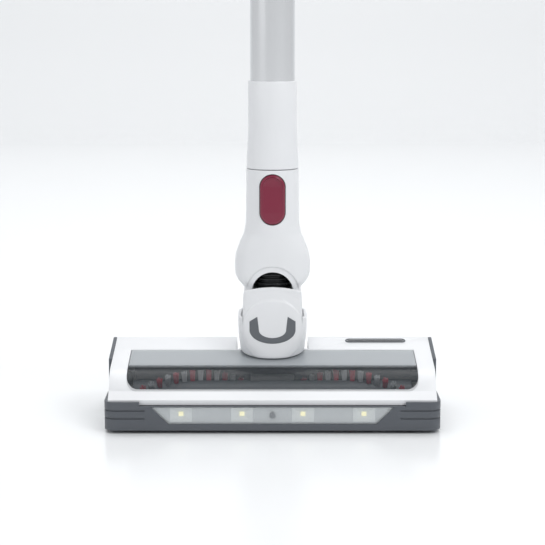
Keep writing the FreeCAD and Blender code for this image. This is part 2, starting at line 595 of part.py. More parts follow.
def make_duct():
    duct = pipe_z(COLLAR_TOP + 0.3, BARREL_Z - MOTOR_R + 12, 0, DUCT_R, DUCT_R - 2.2)
    seat = pipe_z(COLLAR_TOP + 0.3, COLLAR_TOP + SPIGOT_LENGTH + 6, 0, DUCT_R - 1, SPIGOT_R + 0.2)
    duct = duct.fuse(seat).cut(hand_button(BUTTON_GAP, -60, -SPIGOT_R))
    bridge = box(-11, 11, BIN_Y + BIN_R - 2.5, -DUCT_R + 1.8, HAND_Z + 97, HAND_Z + 131)
    bridge = bridge.cut(rod_z(HAND_Z - 6, HAND_Z + 194, 0, BIN_Y, BIN_R + 0.2))
    bridge = bridge.cut(rod_z(HAND_Z - 6, HAND_Z + 194, 0, 0, DUCT_R - 1))
    duct = duct.fuse(bridge).cut(box(-9, 9, -60, 0, HAND_Z + 99, HAND_Z + 129))
    duct = duct.cut(rod_y(MOTOR_FRONT - 1, MOTOR_BACK + 1, 0, BARREL_Z, MOTOR_R + 0.1))
    save("inlet_duct", max(duct.Solids, key=lambda s: s.Volume))
    button = hand_button(0, -60, -SPIGOT_R - 0.4 - BUTTON_TRAVEL)
    button = button.common(rod_z(HAND_Z - 6, HAND_Z + 44, 0, 0, DUCT_R + 0.6))
    save("hand_button", button)


def make_bin():
    body = pipe_z(LID_TOP + 0.4, BIN_HIGH - 6, BIN_Y, BIN_R, BIN_R - BIN_WALL)
    port = box(-9, 9, BIN_Y + 20, 0, HAND_Z + 99, HAND_Z + 129)
    body = body.cut(port)
    collar = pipe_z(BIN_HIGH - 5.8, BIN_HIGH, BIN_Y, BIN_R + 2, 25.0)
    save("bin_collar", collar)
    ears = []
    for y0, y1 in ((BIN_Y - 14, BIN_Y - 8.4), (BIN_Y + 8.4, BIN_Y + 14)):
        ear = box(LID_HINGE_X - 3.5, -BIN_R + 3, y0, y1, LID_HINGE_Z + 4.2, LID_HINGE_Z + 12)
        ear = ear.fuse(box(LID_HINGE_X - 3.5, LID_HINGE_X + 3.2, y0, y1, LID_HINGE_Z, LID_HINGE_Z + 5))
        ear = ear.fuse(rod_y(y0, y1, LID_HINGE_X, LID_HINGE_Z, 3.5))
        ear = ear.cut(rod_z(HAND_Z - 6, HAND_Z + 194, 0, BIN_Y, BIN_R - 0.5))
        ears.append(ear.cut(rod_y(y0 - 1, y1 + 1, LID_HINGE_X, LID_HINGE_Z, 1.5)))
    guide = box(BIN_R - 2, BIN_R + 1.1, BIN_Y - 9, BIN_Y + 9, LID_TOP + 3, LID_TOP + 20)
    guide = guide.cut(rod_z(HAND_Z - 6, HAND_Z + 194, 0, BIN_Y, BIN_R - 0.5))
    save("dust_bin", body.multiFuse(ears + [guide]).removeSplitter())
    save("lid_hinge_pin", rod_y(BIN_Y - 14, BIN_Y + 14, LID_HINGE_X, LID_HINGE_Z, 1.5))
    lid = rod_z(LID_TOP - 4.6, LID_TOP, 0, BIN_Y, BIN_R + 0.8)
    knuckle = rod_y(BIN_Y - 8, BIN_Y + 8, LID_HINGE_X, LID_HINGE_Z, 3.4)
    arm = box(LID_HINGE_X, -BIN_R + 4, BIN_Y - 8, BIN_Y + 8, LID_TOP - 4.6, LID_TOP - 0.6)
    lid = lid.multiFuse([knuckle, arm]).cut(rod_y(-FAR, 0, LID_HINGE_X, LID_HINGE_Z, 1.5 + RUN_CLEAR))
    seal = pipe_z(LID_TOP - 0.1, LID_TOP + 0.35, BIN_Y, BIN_R - 0.2, BIN_R - BIN_WALL + 0.2)
    save("bin_lid", lid.fuse(seal).removeSplitter())
    catch = box(BIN_R + 1.4, BIN_R + 4.6, BIN_Y - 8, BIN_Y + 8, LID_TOP - 8.2, LID_TOP + 16)
    hook = box(BIN_R - 2.4, BIN_R + 2, BIN_Y - 8, BIN_Y + 8, LID_TOP - 8.2, LID_TOP - 5.1)
    save("bin_catch", catch.fuse(hook).removeSplitter())


def make_cyclone():
    shroud = pipe_z(HAND_Z + 76, BIN_HIGH - 6, BIN_Y, 25.0, 23.4)
    holes = []
    for ring in range(6):
        for step in range(12):
            a = 2 * math.pi * (step + 0.5 * (ring % 2)) / 12
            holes.append(rod((math.cos(a), math.sin(a), 0), (0, BIN_Y, HAND_Z + 84 + ring * 9), 40, 1.9))
    save("mesh_shroud", shroud.cut(group(holes)))
    cone = Part.makeCone(9, 19, 75, V(0, BIN_Y, HAND_Z + 60))
    cone = cone.cut(Part.makeCone(7.6, 17.6, 75.2, V(0, BIN_Y, HAND_Z + 59.9)))
    save("cyclone_cone", cone)
    filter_core = rod_z(BIN_HIGH - 12, BIN_HIGH + 4, 0, BIN_Y, 21.5)
    save("foam_filter", filter_core)


def make_motor_barrel():
    shell = rod_y(MOTOR_FRONT, MOTOR_BACK, 0, BARREL_Z, MOTOR_R)
    saddle = rod_z(BIN_HIGH + 0.3, BARREL_Z - 20, 0, BIN_Y, 34)
    sleeve = rod_z(BARREL_Z - MOTOR_R - 8, BARREL_Z - 25, 0, 0, DUCT_R + 2.6)
    shell = shell.multiFuse([saddle, sleeve])
    shell = shell.cut(rod_y(MOTOR_FRONT - 1, MOTOR_BACK + 1, 0, BARREL_Z, MOTOR_R - 2.4))
    shell = shell.cut(rod_z(HAND_Z + 94, BARREL_Z, 0, BIN_Y, 22.0))
    shell = shell.cut(rod_z(HAND_Z + 94, BARREL_Z - 20, 0, 0, DUCT_R + 0.1))
    mount = rod_y(-20, -14, 0, BARREL_Z, MOTOR_R - 2.0).cut(rod_y(-21, -13, 0, BARREL_Z, 28))
    save("motor_barrel", shell.fuse(mount).removeSplitter())
    cap = rod_y(MOTOR_FRONT - 7, MOTOR_FRONT - 0.3, 0, BARREL_Z, MOTOR_R)
    front_edge = [e for e in cap.Edges if e.CenterOfMass.y < MOTOR_FRONT - 6.9 and e.Length > 200]
    cap = cap.makeFillet(5, front_edge)
    dial_recess = rod_y(MOTOR_FRONT - 8, MOTOR_FRONT - 5.4, 0, BARREL_Z, 20)
    save("barrel_front_cap", cap.cut(dial_recess))
    save("display_lens", rod_y(MOTOR_FRONT - 7, MOTOR_FRONT - 5.4, 0, BARREL_Z, 19.8))
    cap = rod_y(MOTOR_BACK + 0.3, CAP_BACK, 0, BARREL_Z, MOTOR_R)
    slots = []
    for step in range(24):
        a = math.radians(15 * step + 7.5)
        slot = box(30, 40, MOTOR_BACK - 1, CAP_BACK + 1, -1.2, 1.2)
        slot.rotate(V(0, 0, 0), V(0, 1, 0), math.degrees(a))
        slot.translate(V(0, 0, BARREL_Z))
        slots.append(slot)
    save("exhaust_cap", cap.cut(group(slots)))
    disc = rod_y(16, MOTOR_BACK - 1, 0, BARREL_Z, MOTOR_R - 3)
    save("exhaust_filter", disc.cut(rod_y(15, 40, 0, BARREL_Z, 12)))
    motor = rod_y(-38, 10, 0, BARREL_Z, 28).cut(rod_y(-39, 11, 0, BARREL_Z, 3.0 + RUN_CLEAR))
    save("suction_motor", motor)
    hub = rod_y(-54, -42, 0, BARREL_Z, 9).fuse(rod_y(-44.5, -42, 0, BARREL_Z, 27))
    blades = []
    for step in range(9):
        blade = box(8, 26.5, -53, -44, -0.9, 0.9)
        blade.rotate(V(0, 0, 0), V(0, 1, 0), 40.0 * step)
        blade.translate(V(0, 0, BARREL_Z))
        blades.append(blade)
    shaft = rod_y(-42, 8, 0, BARREL_Z, 3.0)
    save("impeller", hub.multiFuse(blades + [shaft]).removeSplitter())
    save("control_board", box(-24, 24, -98, -62, BARREL_Z + 24, BARREL_Z + 25.6))


def make_handle():
    outer = [(CAP_BACK, HAND_Z + 234), (78, HAND_Z + 234), (GRIP_BACK, HAND_Z + 198),
             (GRIP_BACK, PACK_HIGH + 0.5),
             (CAP_BACK, PACK_HIGH + 0.5)]
    inner = [(54, HAND_Z + 208), (72, HAND_Z + 208), (GRIP_FRONT, HAND_Z + 190),
             (GRIP_FRONT, HAND_Z + 156), (54, HAND_Z + 156)]
    handle = prism_x(outer, GRIP_HALF)
    long_edges = [e for e in handle.Edges if abs(e.tangentAt(e.FirstParameter).x) < 0.01
                  and e.CenterOfMass.y > CAP_BACK + 1 and e.CenterOfMass.z > PACK_HIGH + 1]
    handle = handle.makeFillet(6, long_edges).cut(prism_x(inner, 40))
    pocket = box(-7.5, 7.5, GRIP_FRONT - 1, GRIP_FRONT + 9, TRIGGER_LOW - 0.4, TRIGGER_HIGH + 0.4)
    handle = handle.cut(pocket)
    handle = handle.cut(rod_z(HAND_Z + 228, HAND_Z + 244, 0, 60, 6.4))
    handle = handle.cut(prism_x(grip_outline(0.1), GRIP_HALF - 3.9))
    save("handle", handle.removeSplitter())
    save("grip_pad", prism_x(grip_outline(0), GRIP_HALF - 4))
    trigger = box(-7.1, 7.1, GRIP_FRONT - 4, GRIP_FRONT + 5.5, TRIGGER_LOW, TRIGGER_HIGH)
    nose = [e for e in trigger.Edges if e.CenterOfMass.y < GRIP_FRONT - 3.9]
    save("trigger", trigger.makeFillet(2.5, nose))
    save("mode_button", rod_z(HAND_Z + 230, HAND_Z + 235.5, 0, 60, 6.0))


def grip_outline(gap):
    return [(GRIP_BACK - 1.5 - gap, HAND_Z + 144 - gap), (GRIP_BACK + 1, HAND_Z + 144 - gap),
            (GRIP_BACK + 1, HAND_Z + 195 + gap),
            (GRIP_BACK - 1.5 - gap, HAND_Z + 195 + gap)]


def make_battery():
    y0, y1 = 38.0, 110.0
    case = box(-31, 31, y0, y1, PACK_LOW, PACK_HIGH)
    rim = [e for e in case.Edges if abs(e.tangentAt(e.FirstParameter).z) > PARALLEL]
    case = case.makeFillet(6, rim)
    hollow = box(-28.6, 28.6, y0 + 2.4, y1 - 4.0, PACK_LOW + 2.4, PACK_HIGH - 2.4)
    case = case.cut(hollow).cut(rod_y(y1 - 5, y1 + 1, JACK_X, JACK_Z, JACK_R))
    case = case.cut(box(-9.4, 9.4, y1 - 5, y1 + 1, HAND_Z + 115.6, HAND_Z + 130.4))
    save("battery_case", case)
    cells = [rod_y(y0 + 3, y0 + 3 + CELL_LENGTH, x, z, CELL_R)
             for x in (-19, 0, 19) for z in (HAND_Z + 103.5, HAND_Z + 124)]
    save("battery_cells", group(cells))
    latch = box(-9, 9, y1 - 2.1, y1 + 1.6, HAND_Z + 116, HAND_Z + 130)
    save("battery_latch", latch)


def make_screws():
    """Lens screw and the four screws that hold the base to the cover."""
    floor = FLOOR_GAP + SHELL_WALL
    screws = [rod_z(floor, floor + 2, x, HEAD_REAR - 7, 3) for x in (-114, -60, 60, 114)]
    head = rod_y(HEAD_FRONT + 0.1, HEAD_FRONT + 0.55, 0, 13.8, 2.1)
    screws.append(head.fuse(rod_y(HEAD_FRONT + 0.5, HEAD_FRONT + 10, 0, 13.8, 1.4)))
    save("screws", group(screws))


def main():
    os.makedirs("parts", exist_ok=True)
    save("head_cover", make_cover())
    save("brush_window", make_window())
    save("head_base", make_base())
    save("front_bumper", make_bumper())
    make_lamp_bar()
    make_side_caps()
    make_brush()
    make_brush_drive()
    make_chamber()
    make_wheels()
    make_release()
    make_yoke()
    make_inlay()
    make_bellows()
    make_socket()
    make_wand()
    make_duct()
    make_bin()
    make_cyclone()
    make_motor_barrel()
    make_handle()
    make_battery()
    make_screws()


main()
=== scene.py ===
"""Looks of a cordless stick vacuum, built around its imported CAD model.

Every size is in millimetres in the dataclasses below and turned to metres when a mesh is made.
"""

import json
import logging
import math
from dataclasses import dataclass
from enum import Enum
from typing import Sequence

import bmesh
import bpy
import numpy as np
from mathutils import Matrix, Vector


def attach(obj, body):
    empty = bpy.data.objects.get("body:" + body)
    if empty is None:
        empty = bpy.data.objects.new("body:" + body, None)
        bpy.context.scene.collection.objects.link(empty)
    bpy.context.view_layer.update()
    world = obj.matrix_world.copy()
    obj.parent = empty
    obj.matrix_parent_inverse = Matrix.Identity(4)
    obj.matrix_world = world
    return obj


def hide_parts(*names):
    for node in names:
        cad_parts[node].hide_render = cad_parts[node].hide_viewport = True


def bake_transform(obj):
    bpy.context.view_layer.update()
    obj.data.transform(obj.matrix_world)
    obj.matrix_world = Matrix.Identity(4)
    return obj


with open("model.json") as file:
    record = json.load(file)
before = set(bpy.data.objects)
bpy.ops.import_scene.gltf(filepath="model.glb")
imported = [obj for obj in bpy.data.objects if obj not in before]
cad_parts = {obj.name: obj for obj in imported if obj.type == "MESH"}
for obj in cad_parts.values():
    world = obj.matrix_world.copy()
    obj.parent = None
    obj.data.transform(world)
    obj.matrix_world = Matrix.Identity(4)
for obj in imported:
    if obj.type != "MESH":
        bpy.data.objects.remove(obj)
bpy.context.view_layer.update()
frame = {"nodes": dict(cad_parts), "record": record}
LOG = logging.getLogger("vacuum")
MM = 0.001
AXIS_R = 0.01  # radius at which a turned profile ends beside its axis, in millimetres
Array = np.ndarray


# ------------------------------------------------------------------ meshes
def smooth_object(obj: bpy.types.Object, angle: float = 35.0) -> bpy.types.Object:
    """Shade an object smooth, with sharp edges where faces meet at more than angle degrees.

    Args:
        obj: Mesh object.
        angle: Largest angle that is still shaded smooth.

    Returns:
        The same object.
    """
    mesh = obj.data
    mesh.polygons.foreach_set("use_smooth", [True] * len(mesh.polygons))
    work = bmesh.new()
    work.from_mesh(mesh)
    bmesh.ops.remove_doubles(work, verts=work.verts, dist=1e-7)
    bmesh.ops.recalc_face_normals(work, faces=work.faces)
    if work.calc_volume(signed=True) < 0:
        bmesh.ops.reverse_faces(work, faces=work.faces)
    limit = math.radians(angle)
    for edge in work.edges:
        edge.smooth = len(edge.link_faces) != 2 or edge.calc_face_angle(0.0) < limit
    work.to_mesh(mesh)
    work.free()
    return obj


def make_object(name: str, points: Array, faces: Sequence[Sequence[int]],
                angle: float = 35.0) -> bpy.types.Object:
    """Make a mesh object at the origin.

    Args:
        name: Piece name.
        points: Vertices of shape (n, 3), in millimetres.
        faces: Vertex indices of each face.
        angle: Angle above which edges are sharp.

    Returns:
        The new object, linked to the scene.
    """
    mesh = bpy.data.meshes.new(name)
    mesh.from_pydata((points * MM).tolist(), [], [tuple(int(i) for i in f) for f in faces])
    obj = bpy.data.objects.new(name, mesh)
    bpy.context.scene.collection.objects.link(obj)
    return smooth_object(obj, angle)


def grid_faces(rows: int, columns: int, offset: int = 0) -> list[tuple[int, ...]]:
    """Quads of a grid whose columns close on themselves, with both end rows capped.

    Args:
        rows: Number of rings.
        columns: Points on each ring.
        offset: Index of the grid's first vertex.

    Returns:
        Faces as vertex indices.
    """
    i, j = np.meshgrid(np.arange(rows - 1), np.arange(columns), indexing="ij")
    k = (j + 1) % columns
    quads = np.stack([i * columns + j, i * columns + k, (i + 1) * columns + k, (i + 1) * columns + j], -1)
    faces = [tuple(q) for q in (quads.reshape(-1, 4) + offset)]
    faces.append(tuple(offset + c for c in range(columns - 1, -1, -1)))
    faces.append(tuple(offset + (rows - 1) * columns + c for c in range(columns)))
    return faces


def ring_surface(name: str, rings: Array, angle: float = 35.0) -> bpy.types.Object:
    """Closed surface through rings of points, with flat end caps.

    Args:
        name: Piece name.
        rings: Points of shape (rows, columns, 3), in millimetres.
        angle: Angle above which edges are sharp.

    Returns:
        The new object.
    """
    rows, columns = rings.shape[:2]
    return make_object(name, rings.reshape(-1, 3), grid_faces(rows, columns), angle)


def superellipse(half_x: Array, half_y: Array, power: Array, count: int) -> tuple[Array, Array]:
    """Points of |x/a|^n + |y/b|^n = 1 at evenly spaced parameters.

    Args:
        half_x: Half widths a, one per ring.
        half_y: Half depths b, one per ring.
        power: Exponents n, one per ring.
        count: Points on each ring.

    Returns:
        The x and y arrays, of shape (rings, count).
    """
    t = np.linspace(0, 2 * math.pi, count, endpoint=False)
    a, b, n = (np.atleast_1d(np.asarray(v, float))[:, None] for v in (half_x, half_y, power))
    x = a * np.sign(np.cos(t)) * np.abs(np.cos(t)) ** (2 / n)
    y = b * np.sign(np.sin(t)) * np.abs(np.sin(t)) ** (2 / n)
    return x, y


def revolve(name: str, profile: Sequence[tuple[float, float]], centre: Array, axis: str = "Z",
            count: int = 96, angle: float = 30.0) -> bpy.types.Object:
    """Turn a closed profile of (radius, height) about an axis: x = r cos t, y = r sin t.

    Args:
        name: Piece name.
        profile: Profile points, from one end to the other.
        centre: Point on the axis at height zero.
        axis: X, Y or Z.
        count: Steps around the axis.
        angle: Angle above which edges are sharp.

    Returns:
        The new object.
    """
    r, h = np.asarray(profile, float).T
    t = np.linspace(0, 2 * math.pi, count, endpoint=False)
    u, v = r[:, None] * np.cos(t), r[:, None] * np.sin(t)
    w = np.repeat(h[:, None], count, 1)
    order = {"Z": (u, v, w), "Y": (v, w, u), "X": (w, u, v)}[axis]
    return ring_surface(name, np.stack(order, -1) + np.asarray(centre, float), angle)


def rounded_profile(radius: float, low: float, high: float, edge: float,
                    steps: int = 6) -> list[tuple[float, float]]:
    """Profile of a disc with rounded outer corners.

    Args:
        radius: Outer radius.
        low: Lower height.
        high: Upper height.
        edge: Corner radius.
        steps: Segments on each corner.

    Returns:
        Points of (radius, height).
    """
    a = np.linspace(0, math.pi / 2, steps + 1)
    lower = [(radius - edge + edge * math.sin(q), low + edge - edge * math.cos(q)) for q in a]
    upper = [(radius - edge + edge * math.cos(q), high - edge + edge * math.sin(q)) for q in a]
    return [(AXIS_R, low)] + lower + upper + [(AXIS_R, high)]


def cut_away(piece: bpy.types.Object, cutter: bpy.types.Object) -> bpy.types.Object:
    """Subtract a cutter from a piece and delete the cutter.

    Args:
        piece: Object to cut.
        cutter: Closed object to subtract.

    Returns:
        The piece with its new mesh.
    """
    change = piece.modifiers.new("cut", "BOOLEAN")
    change.object, change.operation, change.solver = cutter, "DIFFERENCE", "EXACT"
    done = bpy.data.meshes.new_from_object(piece.evaluated_get(bpy.context.evaluated_depsgraph_get()))
    piece.modifiers.remove(change)
    piece.data = done
    bpy.data.objects.remove(cutter)
    return smooth_object(piece, 32.0)


def bevelled(piece: bpy.types.Object, width: float, segments: int = 3) -> bpy.types.Object:
    """Round a piece's sharp edges by width millimetres and bake the modifier in."""
    change = piece.modifiers.new("edges", "BEVEL")
    change.width, change.segments, change.limit_method = width * MM, segments, "ANGLE"
    change.angle_limit = math.radians(32)
    done = bpy.data.meshes.new_from_object(piece.evaluated_get(bpy.context.evaluated_depsgraph_get()))
    piece.modifiers.remove(change)
    piece.data = done
    return smooth_object(piece, 40.0)


# ------------------------------------------------------------------ materials
def linear(hex_colour: str, alpha: float = 1.0) -> tuple[float, float, float, float]:
    """Turn an sRGB hex colour such as "E8EAEC" into linear values with alpha."""
    parts = [int(hex_colour[i:i + 2], 16) / 255 for i in (0, 2, 4)]
    red, green, blue = (c / 12.92 if c <= 0.04045 else ((c + 0.055) / 1.055) ** 2.4 for c in parts)
    return red, green, blue, alpha


COAT_ROUGHNESS = 0.12
ROUGHNESS_SPREAD = 0.05  # how far the grain moves the roughness either way


class Grain(Enum):
    """Surface texture left by the way a part was made."""

    MOULDED = "fine spark-eroded grain of an injection mould"
    DRAWN = "lines along a drawn and brushed tube"
    WOVEN = "crossing threads or fibres"
    PLEATED = "parallel folds"
    POLISHED = "almost no texture, only slow waviness"


@dataclass(frozen=True)
class Finish:
    """A real material and how its surface was made."""

    name: str
    colour: str
    roughness: float
    grain: Grain = Grain.MOULDED
    grain_mm: float = 0.5
    relief: float = 0.08
    variation: float = 0.03
    metallic: float = 0.0
    ior: float = 1.5
    coat: float = 0.0
    transmission: float = 0.0
    alpha: float = 1.0
    glow: float = 0.0

    def add(self, material: bpy.types.Material, kind: str, settings: dict, links: dict) -> bpy.types.Node:
        """Add a node, set its inputs and link others into it.

        Args:
            material: Material that holds the node.
            kind: Node type.
            settings: Attribute or input names and their values.
            links: Input names and the sockets that feed them.

        Returns:
            The new node.
        """
        tree = material.node_tree
        node = tree.nodes.new(kind)
        for key, value in settings.items():
            if key in node.inputs:
                node.inputs[key].default_value = value
            else:
                setattr(node, key, value)
        for key, socket in links.items():
            tree.links.new(socket, node.inputs[key])
        return node

    def stretch(self) -> tuple[float, float, float]:
        """Scale of the pattern along X, Y and Z, in repeats per metre."""
        per_metre = 1.0 / (self.grain_mm * MM)
        return {Grain.DRAWN: (per_metre, per_metre, per_metre * 0.006),
                Grain.PLEATED: (per_metre, per_metre * 0.02, per_metre * 0.02)}.get(
                    self.grain, (per_metre, per_metre, per_metre))

    def build(self) -> bpy.types.Material:
        """Make the node material, once for each finish.

        Returns:
            The material.
        """
        known = bpy.data.materials.get(self.name)
        if known:
            return known
        material = bpy.data.materials.new(self.name)
        material.use_nodes = True
        shader = material.node_tree.nodes["Principled BSDF"]
        coords = self.add(material, "ShaderNodeTexCoord", {}, {})
        scaled = self.add(material, "ShaderNodeMapping", {"Scale": self.stretch()},
                          {"Vector": coords.outputs["Object"]})
        fine = self.add(material, "ShaderNodeTexNoise", {"Scale": 1.0, "Detail": 3.0, "Roughness": 0.6},
                        {"Vector": scaled.outputs["Vector"]})
        slow = self.add(material, "ShaderNodeTexNoise", {"Scale": 14.0, "Detail": 2.0},
                        {"Vector": coords.outputs["Object"]})
        shade = tuple(min(1.0, c * (1 + self.variation)) for c in linear(self.colour)[:3]) + (1.0,)
        dark = tuple(c * (1 - self.variation) for c in linear(self.colour)[:3]) + (1.0,)
        mixed = self.add(material, "ShaderNodeMix", {"data_type": "RGBA"}, {})
        mixed.inputs[6].default_value, mixed.inputs[7].default_value = dark, shade
        blend = self.add(material, "ShaderNodeMath", {"operation": "MULTIPLY_ADD"}, {})
        blend.inputs[1].default_value, blend.inputs[2].default_value = 0.5, 0.25
        tree = material.node_tree
        tree.links.new(slow.outputs["Fac"], blend.inputs[0])
        tree.links.new(blend.outputs["Value"], mixed.inputs[0])
        tree.links.new(mixed.outputs[2], shader.inputs["Base Color"])
        rough = self.add(material, "ShaderNodeMapRange",
                         {"To Min": max(0.02, self.roughness - ROUGHNESS_SPREAD),
                          "To Max": min(1.0, self.roughness + ROUGHNESS_SPREAD)},
                         {"Value": fine.outputs["Fac"]})
        if self.relief:
            tree.links.new(rough.outputs["Result"], shader.inputs["Roughness"])
        shader.inputs["Roughness"].default_value = self.roughness
        bump = self.add(material, "ShaderNodeBump",
                        {"Strength": self.relief, "Distance": self.grain_mm * MM * 0.3},
                        {"Height": fine.outputs["Fac"]})
        tree.links.new(bump.outputs["Normal"], shader.inputs["Normal"])
        for key, value in {"Metallic": self.metallic, "IOR": self.ior, "Coat Weight": self.coat,
                           "Coat Roughness": COAT_ROUGHNESS, "Transmission Weight": self.transmission,
                           "Alpha": self.alpha}.items():
            shader.inputs[key].default_value = value
        if self.glow:
            shader.inputs["Emission Color"].default_value = linear(self.colour)
            shader.inputs["Emission Strength"].default_value = self.glow
        return material


# Moulded ABS: opaque, slightly glossy, with a skin of fine mould grain.
WHITE_ABS = Finish("moulded_white_abs", "E9EAEC", 0.36, coat=0.15, relief=0.03)
GREY_ABS = Finish("moulded_grey_abs", "55595F", 0.45, relief=0.12)
TRIM_ABS = Finish("moulded_trim_abs", "63676C", 0.42, relief=0.10)
BERRY_ABS = Finish("moulded_berry_abs", "7C1234", 0.3, coat=0.35, relief=0.04)
BLACK_ABS = Finish("moulded_black_abs", "17181A", 0.3, coat=0.2, relief=0.05)
# Clear parts: polished polycarbonate, smoked or plain, thin enough to see through without much bending.
SMOKED_PC = Finish("polished_smoked_polycarbonate", "50565B", 0.08,
                   Grain.POLISHED, 20.0, 0.01, alpha=0.22, coat=0.3)
# Opaque grey film: its grey is painted reflection of the bright surroundings on the window's flat top.
GREY_REFLECTION_FILM = Finish("grey_polycarbonate_painted_reflection", "9DA2A6", 0.3, Grain.POLISHED, 15.0, 0.02, coat=0.5)
CLEAR_PC = Finish("polished_clear_polycarbonate", "DDE2E4", 0.05,
                  Grain.POLISHED, 20.0, 0.01, alpha=0.28, coat=0.6)
BIN_PC = Finish("polished_bin_polycarbonate", "B9C0C4", 0.06,
                Grain.POLISHED, 25.0, 0.01, alpha=0.32, coat=0.5)
# Metals: satin anodised tube, vacuum-plated reflector, turned steel.
TUBE_ALUMINIUM = Finish("satin_anodised_aluminium", "EDEEF0", 0.24,
                        Grain.DRAWN, 0.35, 0.05, 0.02, metallic=0.9)
PLATED = Finish("vacuum_plated_abs", "C9CCCE", 0.32, Grain.POLISHED, 6.0, 0.05, metallic=0.7)
STEEL = Finish("turned_steel", "8E9194", 0.28, Grain.DRAWN, 0.3, 0.05, metallic=1.0)
MOTOR_ALLOY = Finish("die_cast_aluminium", "A9ACB0", 0.42, relief=0.2, metallic=1.0)
# Rubbers, fibres, foams, lit parts and other small finishes.
BELLOWS_TPE = Finish("moulded_black_tpe", "26282A", 0.24, relief=0.05, coat=0.5)
WHEEL_RUBBER = Finish("moulded_wheel_rubber", "1B1B1C", 0.6, relief=0.2)
GRIP_TPE = Finish("soft_grip_tpe", "2B2D31", 0.75, grain_mm=0.8, relief=0.35)
RED_NYLON = Finish("nylon_bristle_red", "B01436", 0.5, Grain.DRAWN, 0.3, 0.2, 0.15)
GREY_NYLON = Finish("nylon_bristle_grey", "B4B7BA", 0.5, Grain.DRAWN, 0.3, 0.2, 0.12)
BRUSH_PP = Finish("moulded_brush_polypropylene", "6E7276", 0.4, relief=0.1)
FOAM = Finish("open_cell_filter_foam", "3B3D40", 0.95, grain_mm=1.2, relief=0.8, variation=0.2)
FILTER_PAPER = Finish("pleated_filter_paper", "E2E0D8", 0.9, Grain.PLEATED, 3.0, 0.8, 0.1)
BOARD = Finish("printed_circuit_board", "1E5A35", 0.45, grain_mm=2.0, relief=0.1, variation=0.2)
SEGMENT = Finish("lit_display_segment", "C9DCE8", 0.4, glow=0.35)
LAMP = Finish("lit_lamp_phosphor", "F7EFB4", 0.4, glow=0.75)
CUP_FILM = Finish("bright_plated_cup", "EEF1F2", 0.3, Grain.POLISHED, 6.0, 0.02, metallic=0.35)
BEARING_POM = Finish("moulded_acetal", "D8D5CA", 0.4)
CELL_WRAP = Finish("shrink_wrapped_cell", "2C6E92", 0.35, relief=0.02)

NODE_FINISH = {
    "head_cover": WHITE_ABS, "brush_window": SMOKED_PC, "head_base": GREY_ABS, "front_bumper": GREY_ABS,
    "lamp_lens": CLEAR_PC, "lamp_reflector": PLATED, "lamp_board": BOARD, "side_caps": GREY_ABS,
    "brush_bearings": BEARING_POM, "brush_motor": STEEL, "drive_belt": WHEEL_RUBBER,
    "brush_chamber": GREY_ABS,
    "wheel_axles": STEEL, "screws": STEEL, "brush_core": BRUSH_PP, "bristles_red": RED_NYLON,
    "bristles_grey": GREY_NYLON, "brush_pulley": BEARING_POM, "motor_pulley": BEARING_POM,
    "brush_catch": BLACK_ABS, "front_wheel_left": WHEEL_RUBBER, "front_wheel_right": WHEEL_RUBBER,
    "rear_wheel_left": WHEEL_RUBBER, "rear_wheel_right": WHEEL_RUBBER, "neck_yoke": WHITE_ABS,
    "neck_inlay": TRIM_ABS, "neck_bellows": BELLOWS_TPE, "pitch_pins": STEEL, "swivel_pins": STEEL,
    "wand_socket": WHITE_ABS, "wand_button": BERRY_ABS, "wand_tube": TUBE_ALUMINIUM, "wand_sleeve": WHITE_ABS,
    "wand_collar": WHITE_ABS, "wand_lead": BLACK_ABS, "inlet_duct": WHITE_ABS, "dust_bin": BIN_PC,
    "bin_collar": GREY_ABS, "lid_hinge_pin": STEEL, "mesh_shroud": TRIM_ABS, "cyclone_cone": TRIM_ABS,
    "foam_filter": FOAM, "motor_barrel": WHITE_ABS, "barrel_front_cap": GREY_ABS, "display_lens": BLACK_ABS,
    "exhaust_cap": GREY_ABS, "exhaust_filter": FILTER_PAPER, "suction_motor": STEEL, "control_board": BOARD,
    "handle": WHITE_ABS, "grip_pad": GRIP_TPE, "hand_button": BERRY_ABS, "bin_lid": BIN_PC,
    "bin_catch": BERRY_ABS, "impeller": MOTOR_ALLOY, "trigger": BERRY_ABS, "mode_button": BERRY_ABS,
    "battery_case": GREY_ABS, "battery_cells": CELL_WRAP, "battery_latch": BERRY_ABS,
}


def dress(piece: bpy.types.Object, finish: Finish) -> bpy.types.Object:
    """Give a piece one finish."""
    piece.data.materials.clear()
    piece.data.materials.append(finish.build())
    return piece


def place(piece: bpy.types.Object, body: str, finish: Finish, slot: str, *nodes: str) -> bpy.types.Object:
    """Dress a piece, mount it on a body, and let it stand for CAD nodes.

    Args:
        piece: New object.
        body: Body that it rides on.
        finish: Its finish.
        slot: Material slot of the record; not used.
        nodes: CAD nodes that it replaces.

    Returns:
        The piece.
    """
    dress(piece, finish)
    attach(piece, body)
    if nodes:
        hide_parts(*nodes)
    LOG.info("%s on %s, %d faces", piece.name, body, len(piece.data.polygons))
    return piece


def slab(name: str, outer: Array, inner: Array, angle: float = 35.0) -> bpy.types.Object:
    """Closed sheet between two grids of the same shape.

    Args:
        name: Piece name.
        outer: Outer surface, shape (rows, columns, 3), in millimetres.
        inner: Inner surface of the same shape.
        angle: Angle above which edges are sharp.

    Returns:
        The new object.
    """
    rows, columns = outer.shape[:2]
    index = np.arange(rows * columns).reshape(rows, columns)
    quads = np.stack([index[:-1, :-1], index[:-1, 1:], index[1:, 1:], index[1:, :-1]], -1).reshape(-1, 4)
    border = np.concatenate([index[0], index[1:, -1], index[-1, -2::-1], index[-2:0:-1, 0]])
    after = np.roll(border, -1)
    shift = rows * columns
    sides = np.stack([border, after, after + shift, border + shift], -1)
    faces = np.concatenate([quads, quads[:, ::-1] + shift, sides])
    return make_object(name, np.concatenate([outer.reshape(-1, 3), inner.reshape(-1, 3)]), faces, angle)


